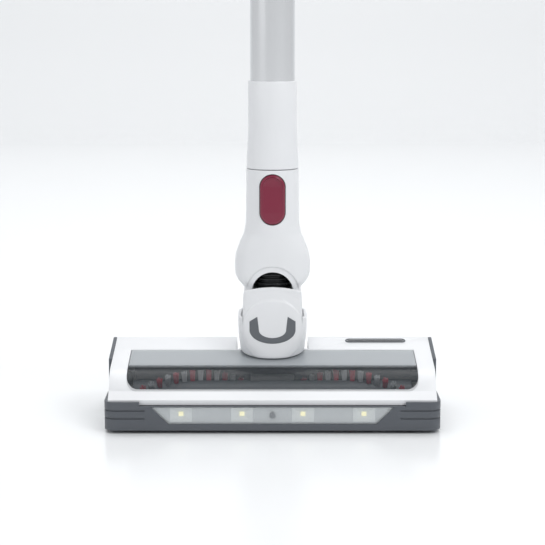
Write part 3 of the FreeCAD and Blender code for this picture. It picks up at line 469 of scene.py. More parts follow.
def copy_node(node: str, name: str, bevel: float) -> bpy.types.Object:
    """Copy a CAD node's mesh, merge it, and round its sharp edges.

    Args:
        node: CAD node.
        name: Name of the new piece.
        bevel: Edge width, in millimetres.

    Returns:
        The new object.
    """
    source = frame["nodes"][node]
    piece = bpy.data.objects.new(name, source.data.copy())
    bpy.context.scene.collection.objects.link(piece)
    work = bmesh.new()
    work.from_mesh(piece.data)
    work.transform(source.matrix_world)
    bmesh.ops.remove_doubles(work, verts=work.verts, dist=2e-6)
    bmesh.ops.dissolve_limit(work, angle_limit=math.radians(1.0), verts=work.verts, edges=work.edges)
    work.to_mesh(piece.data)
    work.free()
    return bevelled(smooth_object(piece), bevel, 2)


# ------------------------------------------------------------------ floor head
@dataclass
class FloorHead:
    """Cover, window, lamp bar and trims of the floor head; lengths in millimetres."""

    ridge: tuple[float, float] = (21.0, 56.5)
    brush: tuple[float, float] = (-33.0, 21.0)
    window_radius: float = 24.4
    window_half: float = 110.0
    window_corner: float = 9.0
    window_start: float = 161.0
    fold_angle: float = 95.0
    window_back: float = -4.0
    lamp_pitch: float = 45.6
    lens: tuple[float, float, float, float] = (90.5, 77.5, 7.6, 20.0)

    def arc(self, first: float, last: float, steps: int) -> Array:
        """Points (y, z) about the brush axis: centre plus radius times (cos a, sin a)."""
        a = np.radians(np.linspace(first, last, steps))
        radius = self.window_radius
        return np.stack([self.brush[0] + radius * np.cos(a), self.brush[1] + radius * np.sin(a)], -1)

    def window_sheet(self, name: str, high: float, low: float, gap: float) -> bpy.types.Object:
        """Sheet that follows the window's arc about the brush.

        Its lower corners are rounded: the half width is the full one less r - sqrt(r^2 - (r - s)^2).

        Args:
            name: Piece name.
            high: Height of the upper face over the shell's outside.
            low: Height of the lower face over the shell's outside.
            gap: Clearance taken off all round.

        Returns:
            The new object.
        """
        line = self.arc(self.window_start - gap * 2.4, self.fold_angle, 26)
        along = np.gradient(line, axis=0)
        along /= np.linalg.norm(along, axis=1, keepdims=True)
        normal = np.stack([-along[:, 1], along[:, 0]], -1)
        run = np.concatenate([[0], np.cumsum(np.linalg.norm(np.diff(line, axis=0), axis=1))])
        corner = self.window_corner
        left_over = np.clip(corner - run, 0, corner)
        half = self.window_half - gap - (corner - np.sqrt(corner ** 2 - left_over ** 2))
        u = np.linspace(-1, 1, 41)

        def face(height: float) -> Array:
            """The sheet's grid at a height over the shell."""
            moved = line + normal * height
            x = half[:, None] * u
            return np.stack([x, np.repeat(moved[:, :1], 41, 1), np.repeat(moved[:, 1:], 41, 1)], -1)

        return slab(name, face(high), face(low))

    def slot_ring(self, half: float, width: float) -> Array:
        """Flat oval about the catch's slot at z=0: a superellipse of power 2 ends on straight sides."""
        t = np.linspace(0, 2 * math.pi, 48, endpoint=False)
        r = width / 2
        x = np.sign(np.cos(t)) * (half - r) + r * np.cos(t)
        return np.stack([81.0 + x, self.ridge[0] - 8 + r * np.sin(t), np.zeros(48)], -1)

    def build_slot_rim(self) -> None:
        """Raised grey rim of the oval slot, following the shell's slope."""
        rings = []
        for half, width, height in ((22.6, 4.6, -1.6), (22.6, 4.6, 0.35), (22.9, 5.2, 0.6), (23.5, 6.4, 0.6),
                                    (23.8, 7.0, 0.15), (23.8, 7.0, -0.4)):
            ring = self.slot_ring(half, width)
            slope = (self.ridge[1] - 51.2) / (self.ridge[0] - self.window_back)
            ring[:, 2] = 51.2 + slope * (ring[:, 1] - self.window_back) + height
            rings.append(ring)
        rows = np.stack(rings + [rings[0]])
        count = rows.shape[1]
        faces = [f for f in grid_faces(len(rows), count) if len(f) == 4]
        rim = make_object("slot_rim", rows.reshape(-1, 3), faces)
        place(rim, "head", TRIM_ABS, "grey_abs")
        liner = ring_surface("slot_liner", np.stack([rings[0] - [0, 0, 0.6], rings[0] + [0, 0, 1.2]]))
        place(liner, "head", BLACK_ABS, "black_plastic")

    def build_window(self) -> None:
        """Smoked window over the brush and the grey strip behind it; the strip's even grey is painted
        reflection of the bright surroundings on the window's flat top.
        """
        start = self.arc(self.fold_angle, self.fold_angle, 1)[0]
        fold = start[0]
        clear = self.window_sheet("brush_window_clear", 0.25, -2.0, 0.3)
        place(clear, "head", SMOKED_PC, "smoked_window", "brush_window")
        line_y = np.linspace(fold + 0.5, self.window_back - 0.4, 8)
        slope = (51.2 - start[1]) / (self.window_back - start[0])
        u = np.linspace(-1, 1, 31) * (self.window_half - 0.4)
        y, x = np.meshgrid(line_y, u, indexing="ij")
        z = start[1] + slope * (y - start[0])
        # Opaque grey strip over the window's flat top: painted reflection of the bright surroundings.
        strip = slab("window_strip_painted_reflection", np.stack([x, y, z + 0.1], -1), np.stack([x, y, z - 1.9], -1))
        place(bevelled(strip, 0.5, 2), "head", GREY_REFLECTION_FILM, "smoked_window")

    def build_lamp_bar(self) -> None:
        """Reflector with four pyramid cups, and the lit chips at their bottoms."""
        top, low, z0, z1 = self.lens
        v = np.linspace(0, 1, 25)
        u = np.linspace(-1, 1, 289)
        half = (low + (top - low) * v)[:, None] - 0.5
        x, z = half * u, np.repeat((z0 + 0.3 + (z1 - z0 - 0.6) * v)[:, None], len(u), 1)
        depth = np.zeros_like(x)
        for i in range(4):
            dx = np.abs(x - (i - 1.5) * self.lamp_pitch) / 8.4
            dz = np.abs(z - 14.2) / 6.0
            depth = np.maximum(depth, np.clip(1.25 * (1 - np.maximum(dx, dz)), 0, 1) * 2.4)
        front = np.stack([x, -63.6 + depth, z], -1)
        behind = np.stack([x, np.full_like(x, -60.6), z], -1)
        panel = slab("lamp_reflector_cups", front, behind, 12.0)
        place(panel, "head", PLATED, "silvered_plastic", "lamp_reflector")
        step_x, step_z = np.meshgrid(np.linspace(-1, 1, 33), np.linspace(-1, 1, 25))
        hollow = np.clip(1.5 * (1 - np.maximum(np.abs(step_x), np.abs(step_z))), 0, 1) * 1.6
        for i in range(4):
            centre = (i - 1.5) * self.lamp_pitch
            front = np.stack([centre + 8.2 * step_x, -63.9 + hollow, 14.0 + 5.4 * step_z], -1)
            cup = slab("lamp_cup_%d" % (i + 1), front, front + [0, 0.25, 0], 12.0)
            place(cup, "head", CUP_FILM, "silvered_plastic")
            chip = block("lamp_chip_%d" % (i + 1), (centre - 1.8, centre + 1.8), (-63.0, -61.0), (12.7, 15.9))
            place(bevelled(chip, 0.3, 2), "head", LAMP, "clear_lens")

    def build(self) -> None:
        """All pieces of the head."""
        self.build_slot_rim()
        self.build_window()
        self.build_lamp_bar()
        place(copy_node("head_cover", "cover_soft", 1.0), "head", WHITE_ABS, "white_abs", "head_cover")
        for node, name in (("front_bumper", "bumper_soft"), ("side_caps", "side_caps_soft")):
            place(copy_node(node, name, 0.7), "head", GREY_ABS, "grey_abs", node)


def block(name: str, x: tuple[float, float], y: tuple[float, float],
          z: tuple[float, float]) -> bpy.types.Object:
    """Box between two corners, in millimetres, used as a cutter or before bevelling."""
    ring = np.array([(x[0], y[0], 0), (x[1], y[0], 0), (x[1], y[1], 0), (x[0], y[1], 0)], float)
    return ring_surface(name, np.stack([ring + [0, 0, z[0]], ring + [0, 0, z[1]]]))


@dataclass
class BrushRoll:
    """Bristle tufts of the brush roll; each tuft is a flared bundle of fibres."""

    centre: tuple[float, float] = (-33.0, 21.0)
    reach: float = 20.5
    root: float = 11.9
    pitch: float = 6.1
    count: int = 16
    twist: float = 1.65
    fibres: int = 15

    def tufts(self, name: str, odd: int) -> bpy.types.Object:
        """Every second tuft of both helical rows: root and tip of each fibre, joined by a square rod.

        Args:
            name: Piece name.
            odd: 0 for the even tufts, 1 for the odd ones.

        Returns:
            The new object.
        """
        rng = np.random.default_rng(7 + odd)
        steps = np.array([i for i in range(-self.count, self.count + 1) if i % 2 == odd])
        place_x = np.repeat(np.tile(steps * self.pitch, 2), self.fibres)
        turn = np.radians(self.twist * np.abs(place_x) - 12)
        turn += np.repeat([0, math.pi], len(steps) * self.fibres)
        swirl = np.tile(np.linspace(0, 2 * math.pi, self.fibres, endpoint=False), 2 * len(steps))
        spread = np.where(np.arange(len(swirl)) % 3 == 0, 0.5, 1.25)
        side, lean = spread * np.cos(swirl), spread * np.sin(swirl)
        length = self.reach - 0.2 - rng.uniform(0, 0.7, len(turn))
        corners = np.radians([45, 135, 225, 315])
        ends = []
        for radius, flare, thick in ((np.full(len(turn), self.root), 1.15, 0.5), (length, 1.6, 0.45)):
            base_x = place_x + side * flare
            across = lean * flare
            x = base_x[:, None] + thick * np.cos(corners)
            w = across[:, None] + thick * np.sin(corners)
            y = self.centre[0] + radius[:, None] * np.cos(turn)[:, None] - w * np.sin(turn)[:, None]
            z = self.centre[1] + radius[:, None] * np.sin(turn)[:, None] + w * np.cos(turn)[:, None]
            ends.append(np.stack([x, y, z], -1))
        points = np.stack(ends, 1).reshape(-1, 3)
        unit = grid_faces(2, 4)
        faces = [tuple(v + 8 * k for v in face) for k in range(len(turn)) for face in unit]
        return make_object(name, points, faces)

    def build(self) -> None:
        """Red and grey tufts."""
        place(self.tufts("tufts_red", 0), "brush", RED_NYLON, "red_bristle", "bristles_red")
        place(self.tufts("tufts_grey", 1), "brush", GREY_NYLON, "grey_bristle", "bristles_grey")


# ------------------------------------------------------------------ neck
def fade(value: Array, start: float, end: float) -> Array:
    """Smooth step of value from 0 at start to 1 at end."""
    s = np.clip((value - start) / (end - start), 0, 1)
    return s * s * (3 - 2 * s)


@dataclass
class Neck:
    """Turret of the neck with its round front shield, inlay, hip and bellows; millimetres."""

    half_x: float = 26.5
    half_y: float = 24.0
    wall: float = 2.7
    top: float = 103.6
    cheek: float = 80.0
    clevis: float = 21.7
    pitch_axis: tuple[float, float] = (14.0, 27.0)
    shield: tuple[float, float] = (70.0, 24.6)
    bellows: tuple[float, float, float] = (13.0, 1.15, 3.5)

    def surface(self, height: Array, t: Array, inset: float) -> tuple[Array, Array]:
        """Superellipse ring points at given heights; it grows squarer and wider upwards.

        Args:
            height: Heights of shape (rows, columns).
            t: Ring angles, one per column.
            inset: Wall thickness taken off.

        Returns:
            The x and y arrays.
        """
        grow = fade(height, 46, 74)
        a = 24.7 + (self.half_x - 24.7) * grow - inset
        b = 23.9 + (self.half_y - 23.9) * grow - inset
        n = 2.3 + 4.2 * grow
        x = a * np.sign(np.cos(t)) * np.abs(np.cos(t)) ** (2 / n)
        y = b * np.sign(np.sin(t)) * np.abs(np.sin(t)) ** (2 / n)
        if inset == 0:
            reach = np.hypot(x, (height - self.shield[0]) * 0.98)
            edge = 1 - fade(reach, self.shield[1] - 0.9, self.shield[1])
            dome = np.clip(1 - (reach / (self.shield[1] + 6)) ** 2, 0, 1)
            y = y - (0.9 * edge + 1.6 * dome) * (y < 0) * fade(-y, 8, 20)
        return x, y

    def build_turret(self) -> None:
        """Closed shell: up the outer wall, over the rim, down the inner wall to a floor."""
        columns = 288
        t = np.linspace(0, 2 * math.pi, columns, endpoint=False)[None, :]
        base_x, base_y = self.surface(np.full((1, columns), 85.0), t, self.wall / 2)
        _, low_y = self.surface(np.full((1, columns), 48.0), t, 0.001)
        slope_z = 51.2 + (low_y + 4.0) * 0.19 + 1.0
        low = np.where(low_y < -1.5, slope_z, 52.6)
        plate = fade(np.abs(base_y), self.clevis - 0.9, self.clevis - 0.2)
        high = self.cheek + (self.top - base_x ** 2 / 158.0 - self.cheek) * plate
        rows: list[Array] = []

        def add(height: Array, inset: float, draw: float = 1.0) -> None:
            """Add one ring at a height, pulled towards the axis by draw."""
            x, y = self.surface(height, t, inset)
            rows.append(np.stack([x * draw, y * draw, height], -1)[0])

        for draw in (0.02, 0.4, 0.8):
            add(low, 0.001, draw)
        for a in np.linspace(0, math.pi / 2, 5):
            add(low + 1.2 * (1 - math.cos(a)), 0.0, 0.95 + 0.05 * math.sin(a))
        for s in np.linspace(0.02, 1, 90):
            add(low + 1.2 + s * (high - low - 1.9), 0.0)
        add(high - 0.2, 0.3)
        add(high, 0.9)
        add(high, self.wall - 0.6)
        add(high - 0.6, self.wall)
        for s in np.linspace(0.05, 1, 12):
            add(high - 0.6 + s * (low + 3.4 - high), self.wall)
        for draw in (0.7, 0.02):
            add(low + 3.0, self.wall, draw)
        turret = ring_surface("neck_turret", np.stack(rows), 42.0)
        place(turret, "neck", WHITE_ABS, "white_abs", "neck_yoke")

    def build_hip(self) -> None:
        """Drum about the pitch axis and the block that joins it to the turret."""
        profile = rounded_profile(18.9, -23.8, 23.8, 2.0)
        drum = revolve("neck_drum", profile, np.array([0, *self.pitch_axis]), "X")
        place(drum, "neck", WHITE_ABS, "white_abs")
        height = np.array([27, 28, 40, 52, 58, 61, 62])
        draw = np.array([1.2, 0, 0, 0, 0.6, 2.0, 4.5])
        x, y = superellipse(24 - draw, 15.2 - draw, np.full(7, 6.0), 96)
        z = np.repeat(height[:, None], 96, 1)
        hip = ring_surface("neck_hip", np.stack([x, y + 14.6, z], -1))
        place(hip, "neck", WHITE_ABS, "white_abs")

    def shield_y(self, x: Array, z: Array) -> Array:
        """Front surface of the turret at x and z."""
        reach = np.hypot(x, (z - self.shield[0]) * 0.98)
        grow = fade(z, 46, 74)
        a, n = 24.7 + (self.half_x - 24.7) * grow, 2.3 + 4.2 * grow
        b = 23.9 + (self.half_y - 23.9) * grow
        y = b * np.clip(1 - np.abs(x / a) ** n, 0.0, 1) ** (1 / n)
        edge = 1 - fade(reach, self.shield[1] - 0.9, self.shield[1])
        dome = np.clip(1 - (reach / (self.shield[1] + 6)) ** 2, 0, 1)
        return -(y + 0.9 * edge + 1.6 * dome)

    def build_inlay(self) -> None:
        """U-shaped trim laid on the shield: a band between an outer and an inner U line."""
        a = np.linspace(math.pi, 2 * math.pi, 41)
        outer_x, outer_z = 17.6 * np.cos(a), 71.0 + 10.6 * np.sin(a)
        inner_x, inner_z = 10.4 * np.cos(a), 71.0 + 6.1 * np.sin(a)
        outer = np.stack([outer_x, outer_z], -1)
        inner = np.stack([inner_x, inner_z], -1)
        rise = np.linspace(1, 0, 10)[:-1, None]
        left = [np.array([[-17.6, 71.0]]) + rise * [0, 6.6], np.array([[-10.4, 71.0]]) + rise * [-1.2, 10.4]]
        outer = np.concatenate([left[0], outer, (left[0] * [-1, 1])[::-1]])
        inner = np.concatenate([left[1], inner, (left[1] * [-1, 1])[::-1]])
        across = np.linspace(0, 1, 9)[:, None, None]
        line = outer * (1 - across) + inner * across
        x, z = line[..., 0], line[..., 1]
        y = self.shield_y(x, z)
        edge = 0.15 + 0.25 * fade(np.minimum(across, 1 - across)[..., 0], 0.0, 0.13)
        front, behind = np.stack([x, y - edge, z], -1), np.stack([x, y + 1.4, z], -1)
        place(slab("neck_inlay_band", front, behind), "neck", TRIM_ABS, "grey_abs", "neck_inlay")

    def build_bellows(self) -> None:
        """Ribbed hose: radius is mean plus depth times a flattened sine of height."""
        mean, depth, pitch = self.bellows
        z = np.linspace(58, 124, 560)
        wave = np.sin(2 * math.pi * (z - 58) / pitch)
        radius = mean + depth * np.sign(wave) * np.abs(wave) ** 0.55
        outer = list(zip(radius, z))
        profile = [(11.0, 58.0)] + outer + [(11.0, 124.0), (11.0, 58.01)]
        hose = revolve("ribbed_bellows", profile, np.zeros(3), "Z", 72, 50.0)
        dress(hose, BELLOWS_TPE)
        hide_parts("neck_bellows")
        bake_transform(hose)

    def build(self) -> None:
        """All pieces of the neck."""
        self.build_turret()
        self.build_hip()
        self.build_inlay()
        self.build_bellows()


# ------------------------------------------------------------------ wand
@dataclass
class WandSocket:
    """Bell-shaped socket on the neck with its release button; millimetres."""

    heights: tuple[float, ...] = (
        84, 90, 97, 103.5, 106.7, 111.6, 117, 122,
        127.6, 136, 143, 150, 160, 175, 192.2)
    half_x: tuple[float, ...] = (
        17.5, 18.6, 19, 23.3, 26.6, 28.9, 29.2, 29.1,
        28.2, 25.2, 22.0, 20.7, 20.4, 20.3, 20.2)
    half_y: tuple[float, ...] = (
        17.3, 19.3, 19.6, 19.6, 19.6, 19.6, 19.7, 19.9,
        20.3, 20.6, 20.5, 20.4, 20.3, 20.2, 20.2)
    power: tuple[float, ...] = (3.0, 3.2, 3.4, 3.4, 3.2, 3.0, 2.8, 2.6, 2.5, 2.3, 2.15, 2.05, 2.0, 2.0, 2.0)
    arch: tuple[float, float, float] = (98.5, 16.0, 20.6)
    bores: tuple[tuple[str, float, float, float], ...] = (("bore", 15.4, 60, 126), ("seat", 15.1, 168, 200))
    well_depths: tuple[float, float, float] = (-16.0, -16.05, -16.55)
    button: tuple[float, float, float] = (151.3, 189.4, 9.5)
    face_y: float = -21.3

    def build_bell(self) -> None:
        """Rings of superellipses through the listed heights, with a recessed rim round the arch."""
        z = np.concatenate([np.linspace(84, 192.2, 190), [192.5]])
        values = [np.interp(z, self.heights, v) for v in (self.half_x, self.half_y, self.power)]
        kernel = np.hanning(11) / np.hanning(11).sum()
        values = [np.convolve(np.pad(v, 5, "edge"), kernel, "valid") for v in values]
        values[0][-1] -= 0.4
        values[1][-1] -= 0.4
        x, y = superellipse(values[0], values[1], values[2], 240)
        height = np.repeat(z[:, None], 240, 1)
        reach = np.hypot(x, height - self.arch[0])
        rim = (1 - fade(reach, self.arch[2] - 0.8, self.arch[2])) * (height > self.arch[0] + 2) * (y < -6)
        pad = fade(height, 140, 152) * np.exp(-(x / 13.0) ** 4) * fade(-y, 10, 18)
        y = y + 1.1 * rim - 0.8 * pad
        bell = ring_surface("socket_bell", np.stack([x, y, height], -1), 40.0)
        for name, radius, foot, top in self.bores:
            hole = [(AXIS_R, foot), (radius, foot), (radius, top), (AXIS_R, top)]
            cut_away(bell, revolve(name, hole, np.zeros(3), "Z", 96))
        low, high, half = self.button
        well = self.pill(half + 0.55, low - 0.55, high + 0.55)
        deep, floor_front, floor_back = self.well_depths
        cutter = np.stack([self.raise_pill(well, -40), self.raise_pill(well, deep)])
        cut_away(bell, ring_surface("well", cutter))
        a = np.linspace(0, math.pi, 40)
        arch = np.column_stack([self.arch[1] * np.cos(a), np.zeros(40),
                                self.arch[0] + self.arch[1] * np.sin(a)])
        arch = np.concatenate([arch, [[-self.arch[1] - 0.01, 0, 80.3], [self.arch[1] + 0.01, 0, 80.3]]])
        cut_away(bell, ring_surface("arch", np.stack([arch - [0, 60, 0], arch - [0, 4, 0]])))
        place(bell, "socket", WHITE_ABS, "white_abs", "wand_socket")
        # Black plate at the bottom of the button's well: painted shade, the dark gap round the button.
        plate = np.stack([self.raise_pill(well, floor_back), self.raise_pill(well, floor_front)])
        floor = ring_surface("button_well_painted_shade", plate)
        place(floor, "socket", BLACK_ABS, "black_plastic")

    @staticmethod
    def pill(half: float, low: float, high: float, count: int = 96) -> Array:
        """Upright oval outline (x, z): two half circles joined by straight sides."""
        t = np.linspace(0, 2 * math.pi, count, endpoint=False)
        middle = np.where(np.sin(t) >= 0, high - half, low + half)
        return np.column_stack([half * np.cos(t), middle + half * np.sin(t)])

    @staticmethod
    def raise_pill(line: Array, y: float) -> Array:
        """Outline (x, z) placed at depth y."""
        return np.column_stack([line[:, 0], np.full(len(line), y), line[:, 1]])

    def build_button(self) -> None:
        """Oval button: the outline drawn in to its centre line, with a round thumb dish near the top."""
        low, high, half = self.button
        rows = [self.raise_pill(self.pill(half - 0.3, low + 0.3, high - 0.3), -18.7)]
        for a in np.linspace(0, math.pi / 2, 6):
            edge = half - 0.9 * (1 - math.cos(a)) - 0.05
            line = self.pill(edge, low + half - edge, high - half + edge)
            rows.append(self.raise_pill(line, self.face_y + 0.9 * (1 - math.sin(a)) + 0.35 * 1))
        for s in np.linspace(0.93, 0.02, 26):
            edge = (half - 0.95) * s
            line = self.pill(edge, low + half - edge, high - half + edge)
            crown = 0.75 * (line[:, 0] / half) ** 2
            reach = np.hypot(line[:, 0], line[:, 1] - (high - half - 0.2))
            dish = 1.15 * (1 - fade(reach, half - 2.2, half - 1.2))
            dish = dish + 0.5 * np.clip(1 - (reach / half) ** 2, 0, 1)
            ring = self.raise_pill(line, self.face_y)
            ring[:, 1] += crown * 0.6 - 0.35 + dish
            rows.append(ring)
        button = ring_surface("release_button", np.stack(rows), 50.0)
        place(button, "wand_button", BERRY_ABS, "berry_abs", "wand_button")

    def build(self) -> None:
        """Bell and button."""
        self.build_bell()
        self.build_button()


@dataclass
class Wand:
    """Metal tube with its sleeve and upper collar; millimetres."""

    tube_r: float = 17.0
    sleeve: tuple[float, float, float] = (18.6, 193.0, 259.5)
    flare_r: float = 20.0
    collar: tuple[float, float, float] = (20.5, 714.0, 806.0)
    tube_ends: tuple[float, float] = (196.7, 760.0)

    def build(self) -> None:
        """Tube, sleeve with a flared foot, and collar, each turned about the wand's axis."""
        low, high = self.tube_ends
        wall = [(self.tube_r - 1, low), (self.tube_r, low + 0.3), (self.tube_r, high - 0.3),
                (self.tube_r - 1, high), (self.tube_r - 1, low + 0.1)]
        tube = revolve("satin_tube", wall, np.zeros(3), "Z", 128)
        place(tube, "wand", TUBE_ALUMINIUM, "aluminium_tube", "wand_tube")
        radius, foot, top = self.sleeve
        z = np.linspace(foot + 0.5, 232, 16)
        skirt = list(zip(self.flare_r - (self.flare_r - radius) * fade(z, foot, 226), z))
        outer = [(14.9, 168.9), (14.9, foot), (self.flare_r - 0.5, foot)] + skirt
        crown = [(radius, top - 0.9), (radius - 0.25, top - 0.25), (radius - 0.8, top),
                 (self.tube_r + 0.05, top)]
        bore = [(self.tube_r + 0.05, foot + 3.5), (13.2, foot + 3.5), (13.2, 168.9)]
        sleeve = revolve("lower_sleeve", outer + crown + bore, np.zeros(3), "Z", 128)
        place(sleeve, "wand", WHITE_ABS, "white_abs", "wand_sleeve")
        radius, foot, top = self.collar
        ends = [(self.tube_r + 0.05, foot), (radius - 1.4, foot), (radius - 0.4, foot + 0.5),
                (radius, foot + 1.6)]
        upper = [(radius, top - 0.6), (radius - 0.5, top), (14.9, top), (14.9, top + 24), (13.2, top + 24),
                 (13.2, 760.2), (self.tube_r + 0.05, 760.2)]
        collar = revolve("upper_collar", ends + upper, np.zeros(3), "Z", 128)
        place(collar, "wand", WHITE_ABS, "white_abs", "wand_collar")


# ------------------------------------------------------------------ handset
def bars(name: str, low: Array, high: Array) -> bpy.types.Object:
    """Many separate boxes in one mesh.

    Args:
        name: Piece name.
        low: Lower corners, shape (n, 3), in millimetres.
        high: Upper corners, shape (n, 3).

    Returns:
        The new object.
    """
    pick = np.array([[0, 0, 0], [1, 0, 0], [1, 1, 0], [0, 1, 0], [0, 0, 1], [1, 0, 1], [1, 1, 1], [0, 1, 1]])
    points = np.where(pick[None] == 0, np.asarray(low)[:, None], np.asarray(high)[:, None])
    unit = grid_faces(2, 4)
    faces = [tuple(v + 8 * k for v in face) for k in range(len(points)) for face in unit]
    return make_object(name, points.reshape(-1, 3), faces)


@dataclass
class Handset:
    """Dust bin, motor barrel, handle and battery above the wand; millimetres."""

    bin_centre: tuple[float, float] = (0.0, -66.0)
    bin_r: float = 40.0
    bin_z: tuple[float, float] = (846.0, 952.0)
    shroud_r: float = 25.0
    shroud_z: tuple[float, float] = (884.0, 944.0)
    barrel_z: float = 1005.0
    barrel_r: float = 45.0
    grip_z: tuple[float, float] = (953.0, 999.0)
    battery_z: tuple[float, float] = (896.0, 943.0)
    soft_edges: tuple[tuple[str, str, float], ...] = (
        ("inlet_duct", "handset", 1.2), ("bin_collar", "handset", 0.6), ("motor_barrel", "handset", 1.0),
        ("barrel_front_cap", "handset", 1.0), ("exhaust_cap", "handset", 0.5), ("handle", "handset", 3.5),
        ("grip_pad", "handset", 0.8), ("display_lens", "handset", 0.4), ("battery_case", "battery", 2.0),
        ("trigger", "trigger", 1.2), ("hand_button", "hand_button", 1.0), ("mode_button", "mode_button", 0.8),
        ("battery_latch", "battery_latch", 0.7), ("bin_catch", "bin_catch", 0.6), ("bin_lid", "bin_lid", 0.5))

    def build_shroud(self) -> None:
        """Woven screen around the shroud: rings and upright wires."""
        centre = np.array([*self.bin_centre, 0.0])
        low, high = self.shroud_z
        height = np.linspace(low, high, 560)
        ripple = 0.22 * np.abs(np.sin(math.pi * (height - low) / 1.5))
        outer = list(zip(self.shroud_r + 0.12 + ripple, height))
        inside = self.shroud_r - 0.4
        profile = [(inside, low)] + outer + [(inside, high), (inside, low + 0.01)]
        screen = revolve("shroud_screen", profile, centre, "Z", 72, 60.0)
        place(screen, "handset", TRIM_ABS, "grey_abs")
        turn = np.linspace(0, 2 * math.pi, 72, endpoint=False)
        foot = np.column_stack([np.cos(turn), np.sin(turn)]) * (self.shroud_r + 0.3) + self.bin_centre
        wires = bars("shroud_wires", np.column_stack([foot - 0.22, np.full(72, low)]),
                     np.column_stack([foot + 0.22, np.full(72, high)]))
        place(wires, "handset", STEEL, "grey_abs")

    def build_bin_trim(self) -> None:
        """Three moulded ribs around the bin: a full line in trim grey, and two near its top."""
        centre = np.array([*self.bin_centre, 0.0])
        low, high = self.bin_z
        rings = []
        for z in (low + 30.0, high - 7.0, high - 4.5):
            rings.append([(self.bin_r - 0.2, z), (self.bin_r + 0.35, z + 0.1), (self.bin_r + 0.35, z + 0.6),
                          (self.bin_r - 0.2, z + 0.7), (self.bin_r - 0.2, z + 0.01)])
        for number, profile in enumerate(rings):
            rib = revolve("bin_rib_%d" % (number + 1), profile, centre, "Z", 128)
            place(rib, "handset", TRIM_ABS if number == 0 else BIN_PC, "clear_bin")

    def build_barrel_trim(self) -> None:
        """Seam rings on the barrel, the bezel and level marks of the display, and the filter's pleats."""
        axis = np.array([0.0, 0.0, self.barrel_z])
        for name, y, finish in (("front_seam", -96.0, TRIM_ABS), ("rear_seam", 12.0, BERRY_ABS)):
            r = self.barrel_r
            band = [(r - 0.4, y), (r + 0.25, y + 0.15), (r + 0.25, y + 1.35), (r - 0.4, y + 1.5),
                    (r - 0.4, y + 0.01)]
            place(revolve(name, band, axis, "Y", 144), "handset", finish, "grey_abs")
        bezel = [(20.6, -112.8), (20.6, -113.4), (21.2, -113.7), (22.6, -113.7), (23.2, -113.2),
                 (23.2, -112.8), (20.6, -112.81)]
        place(revolve("display_bezel", bezel, axis, "Y", 96), "handset", TRIM_ABS, "grey_abs")
        level = np.arange(4)
        marks = bars("display_marks",
                     np.column_stack([-9.4 + 5 * level, np.full(4, -113.25), np.full(4, 1000.0)]),
                     np.column_stack([-5.6 + 5 * level, np.full(4, -112.9), 1004.0 + 2 * level]))
        place(bevelled(marks, 0.3, 2), "handset", SEGMENT, "clear_lens")
        radius = np.linspace(13, 41, 24)
        turn = np.linspace(0, 2 * math.pi, 481)
        fold = 1.5 * np.abs(((turn * 80 / (2 * math.pi)) % 1) * 2 - 1)
        r, t = np.meshgrid(radius, turn, indexing="ij")
        depth = np.broadcast_to(27.2 + fold, r.shape)
        sheet = np.stack([r * np.cos(t), depth, self.barrel_z + r * np.sin(t)], -1)
        behind = sheet.copy()
        behind[..., 1] -= 0.8
        place(slab("pleated_filter", sheet, behind, 10.0), "handset", FILTER_PAPER, "filter_paper")

    def build_grip(self) -> None:
        """Thumb ridges on the grip pad and on both sides of the battery."""
        z = np.linspace(*self.grip_z, 12)
        ridges = bars("grip_ridges", np.column_stack([np.full(12, -8.0), np.full(12, 112.6), z - 0.9]),
                      np.column_stack([np.full(12, 8.0), np.full(12, 113.6), z + 0.9]))
        place(bevelled(ridges, 0.4, 2), "handset", GRIP_TPE, "grip_rubber")
        low, high = self.battery_z
        z = np.linspace(low + 10, high - 12, 6)
        for name, side in (("battery_ridges_left", -1), ("battery_ridges_right", 1)):
            edge = np.sort([side * 30.7, side * 31.6])
            ridges = bars(name, np.column_stack([np.full(6, edge[0]), np.full(6, 82.0), z - 0.8]),
                          np.column_stack([np.full(6, edge[1]), np.full(6, 100.0), z + 0.8]))
            place(bevelled(ridges, 0.35, 2), "battery", GREY_ABS, "grey_abs")
        charge = bars("charge_marks", np.array([[-22.0 + 5 * i, 110.0, high - 12] for i in range(3)]),
                      np.array([[-19.0 + 5 * i, 110.5, high - 10.6] for i in range(3)]))
        place(bevelled(charge, 0.2, 2), "battery", LAMP, "grey_abs")

    def build(self) -> None:
        """Rounded CAD shapes and the fine detail on them."""
        record_slots = {item["node"]: item["material_slot"] for item in frame["record"]["subparts"]}
        for node, body, width in self.soft_edges:
            place(copy_node(node, node + "_soft", width), body, NODE_FINISH[node], record_slots[node], node)
        self.build_shroud()
        self.build_bin_trim()
        self.build_barrel_trim()
        self.build_grip()


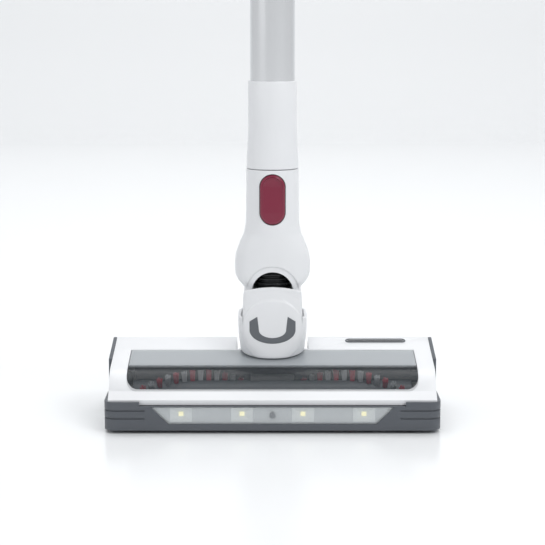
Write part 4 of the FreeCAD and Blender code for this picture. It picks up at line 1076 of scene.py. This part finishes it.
# ------------------------------------------------------------------ studio
@dataclass
class Studio:
    """Floor, backdrop, lamps and camera; metres and degrees."""

    camera_at: tuple[float, float, float] = (0.0, -1.2840, 0.3148)
    camera_tilt: float = 81.0
    lens_mm: float = 110.7
    floor: Finish = Finish("pale_studio_floor", "F6F7F8", 0.22, Grain.POLISHED, 300.0, 0.0, 0.0)
    half_width: float = 5000.0
    front_y: float = -4000.0
    wall_y: float = 3500.0
    wall_top: float = 5000.0
    bend_y: float = 2600.0
    bend_r: float = 900.0
    lamps: tuple[tuple, ...] = (  # name, place, point faced, side, watts
        ("key", (1.6, -1.5, 1.9), (0, 0, 0.2), 1.2, 22),
        ("fill", (-1.9, -1.3, 1.2), (0, 0, 0.15), 1.6, 6),
        ("top", (0.0, 0.3, 2.4), (0, 0, 0.1), 1.8, 18),
        ("backdrop", (0.0, 1.2, 2.6), (0.0, 3.2, 0.4), 2.4, 22),
    )
    world_colour: str = "F4F6F8"
    world_strength: float = 0.66

    def lamp(self, name: str, at: tuple[float, float, float], aim: tuple[float, float, float], size: float,
             watts: float) -> None:
        """Square area lamp at a place, turned to face a point.

        Args:
            name: Lamp name.
            at: Position.
            aim: Point that it faces.
            size: Side length.
            watts: Power.
        """
        data = bpy.data.lights.new(name, "AREA")
        data.size, data.energy = size, watts
        lamp = bpy.data.objects.new(name, data)
        lamp.location = at
        way = Vector(aim) - Vector(at)
        lamp.rotation_euler = way.to_track_quat("-Z", "Y").to_euler()
        bpy.context.scene.collection.objects.link(lamp)

    def build(self) -> None:
        """Sweep of floor and wall, three soft lamps, a pale world, and the camera."""
        turn = np.linspace(0, math.pi / 2, 16)
        bend = [(self.bend_y + self.bend_r * math.sin(a), self.bend_r - self.bend_r * math.cos(a))
                for a in turn]
        curve = [(self.front_y, 0.0)] + bend + [(self.wall_y, self.wall_top)]
        y, z = np.asarray(curve).T
        x = np.linspace(-self.half_width, self.half_width, 12)
        grid = np.stack([np.repeat(x[None], len(y), 0), np.repeat(y[:, None], 12, 1),
                         np.repeat(z[:, None], 12, 1)], -1)
        sweep = slab("studio_sweep", grid, grid + [0, 2.0, -2.0])
        dress(sweep, self.floor)
        for lamp in self.lamps:
            self.lamp(*lamp)
        world = bpy.data.worlds.new("pale")
        world.use_nodes = True
        world.node_tree.nodes["Background"].inputs["Color"].default_value = linear(self.world_colour)
        world.node_tree.nodes["Background"].inputs["Strength"].default_value = self.world_strength
        bpy.context.scene.world = world
        data = bpy.data.cameras.new("photo_camera")
        data.sensor_width, data.lens, data.clip_end = 36.0, self.lens_mm, 30.0
        camera = bpy.data.objects.new("photo_camera", data)
        camera.location = self.camera_at
        camera.rotation_euler = (math.radians(self.camera_tilt), 0, 0)
        bpy.context.scene.collection.objects.link(camera)
        bpy.context.scene.camera = camera
        bpy.context.scene.view_settings.view_transform = "Standard"


def dress_frame() -> None:
    """Give every CAD node that is still shown its own finish."""
    for node, finish in NODE_FINISH.items():
        for slot in frame["nodes"][node].material_slots:
            slot.link, slot.material = "OBJECT", finish.build()


def main() -> None:
    """Dress the frame, build every visible piece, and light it."""
    logging.basicConfig(level=logging.INFO, format="%(name)s: %(message)s")
    dress_frame()
    for builder in (FloorHead(), BrushRoll(), Neck(), WandSocket(), Wand(), Handset(), Studio()):
        LOG.info("building %s", type(builder).__name__)
        builder.build()


if __name__ == "__main__":
    main()
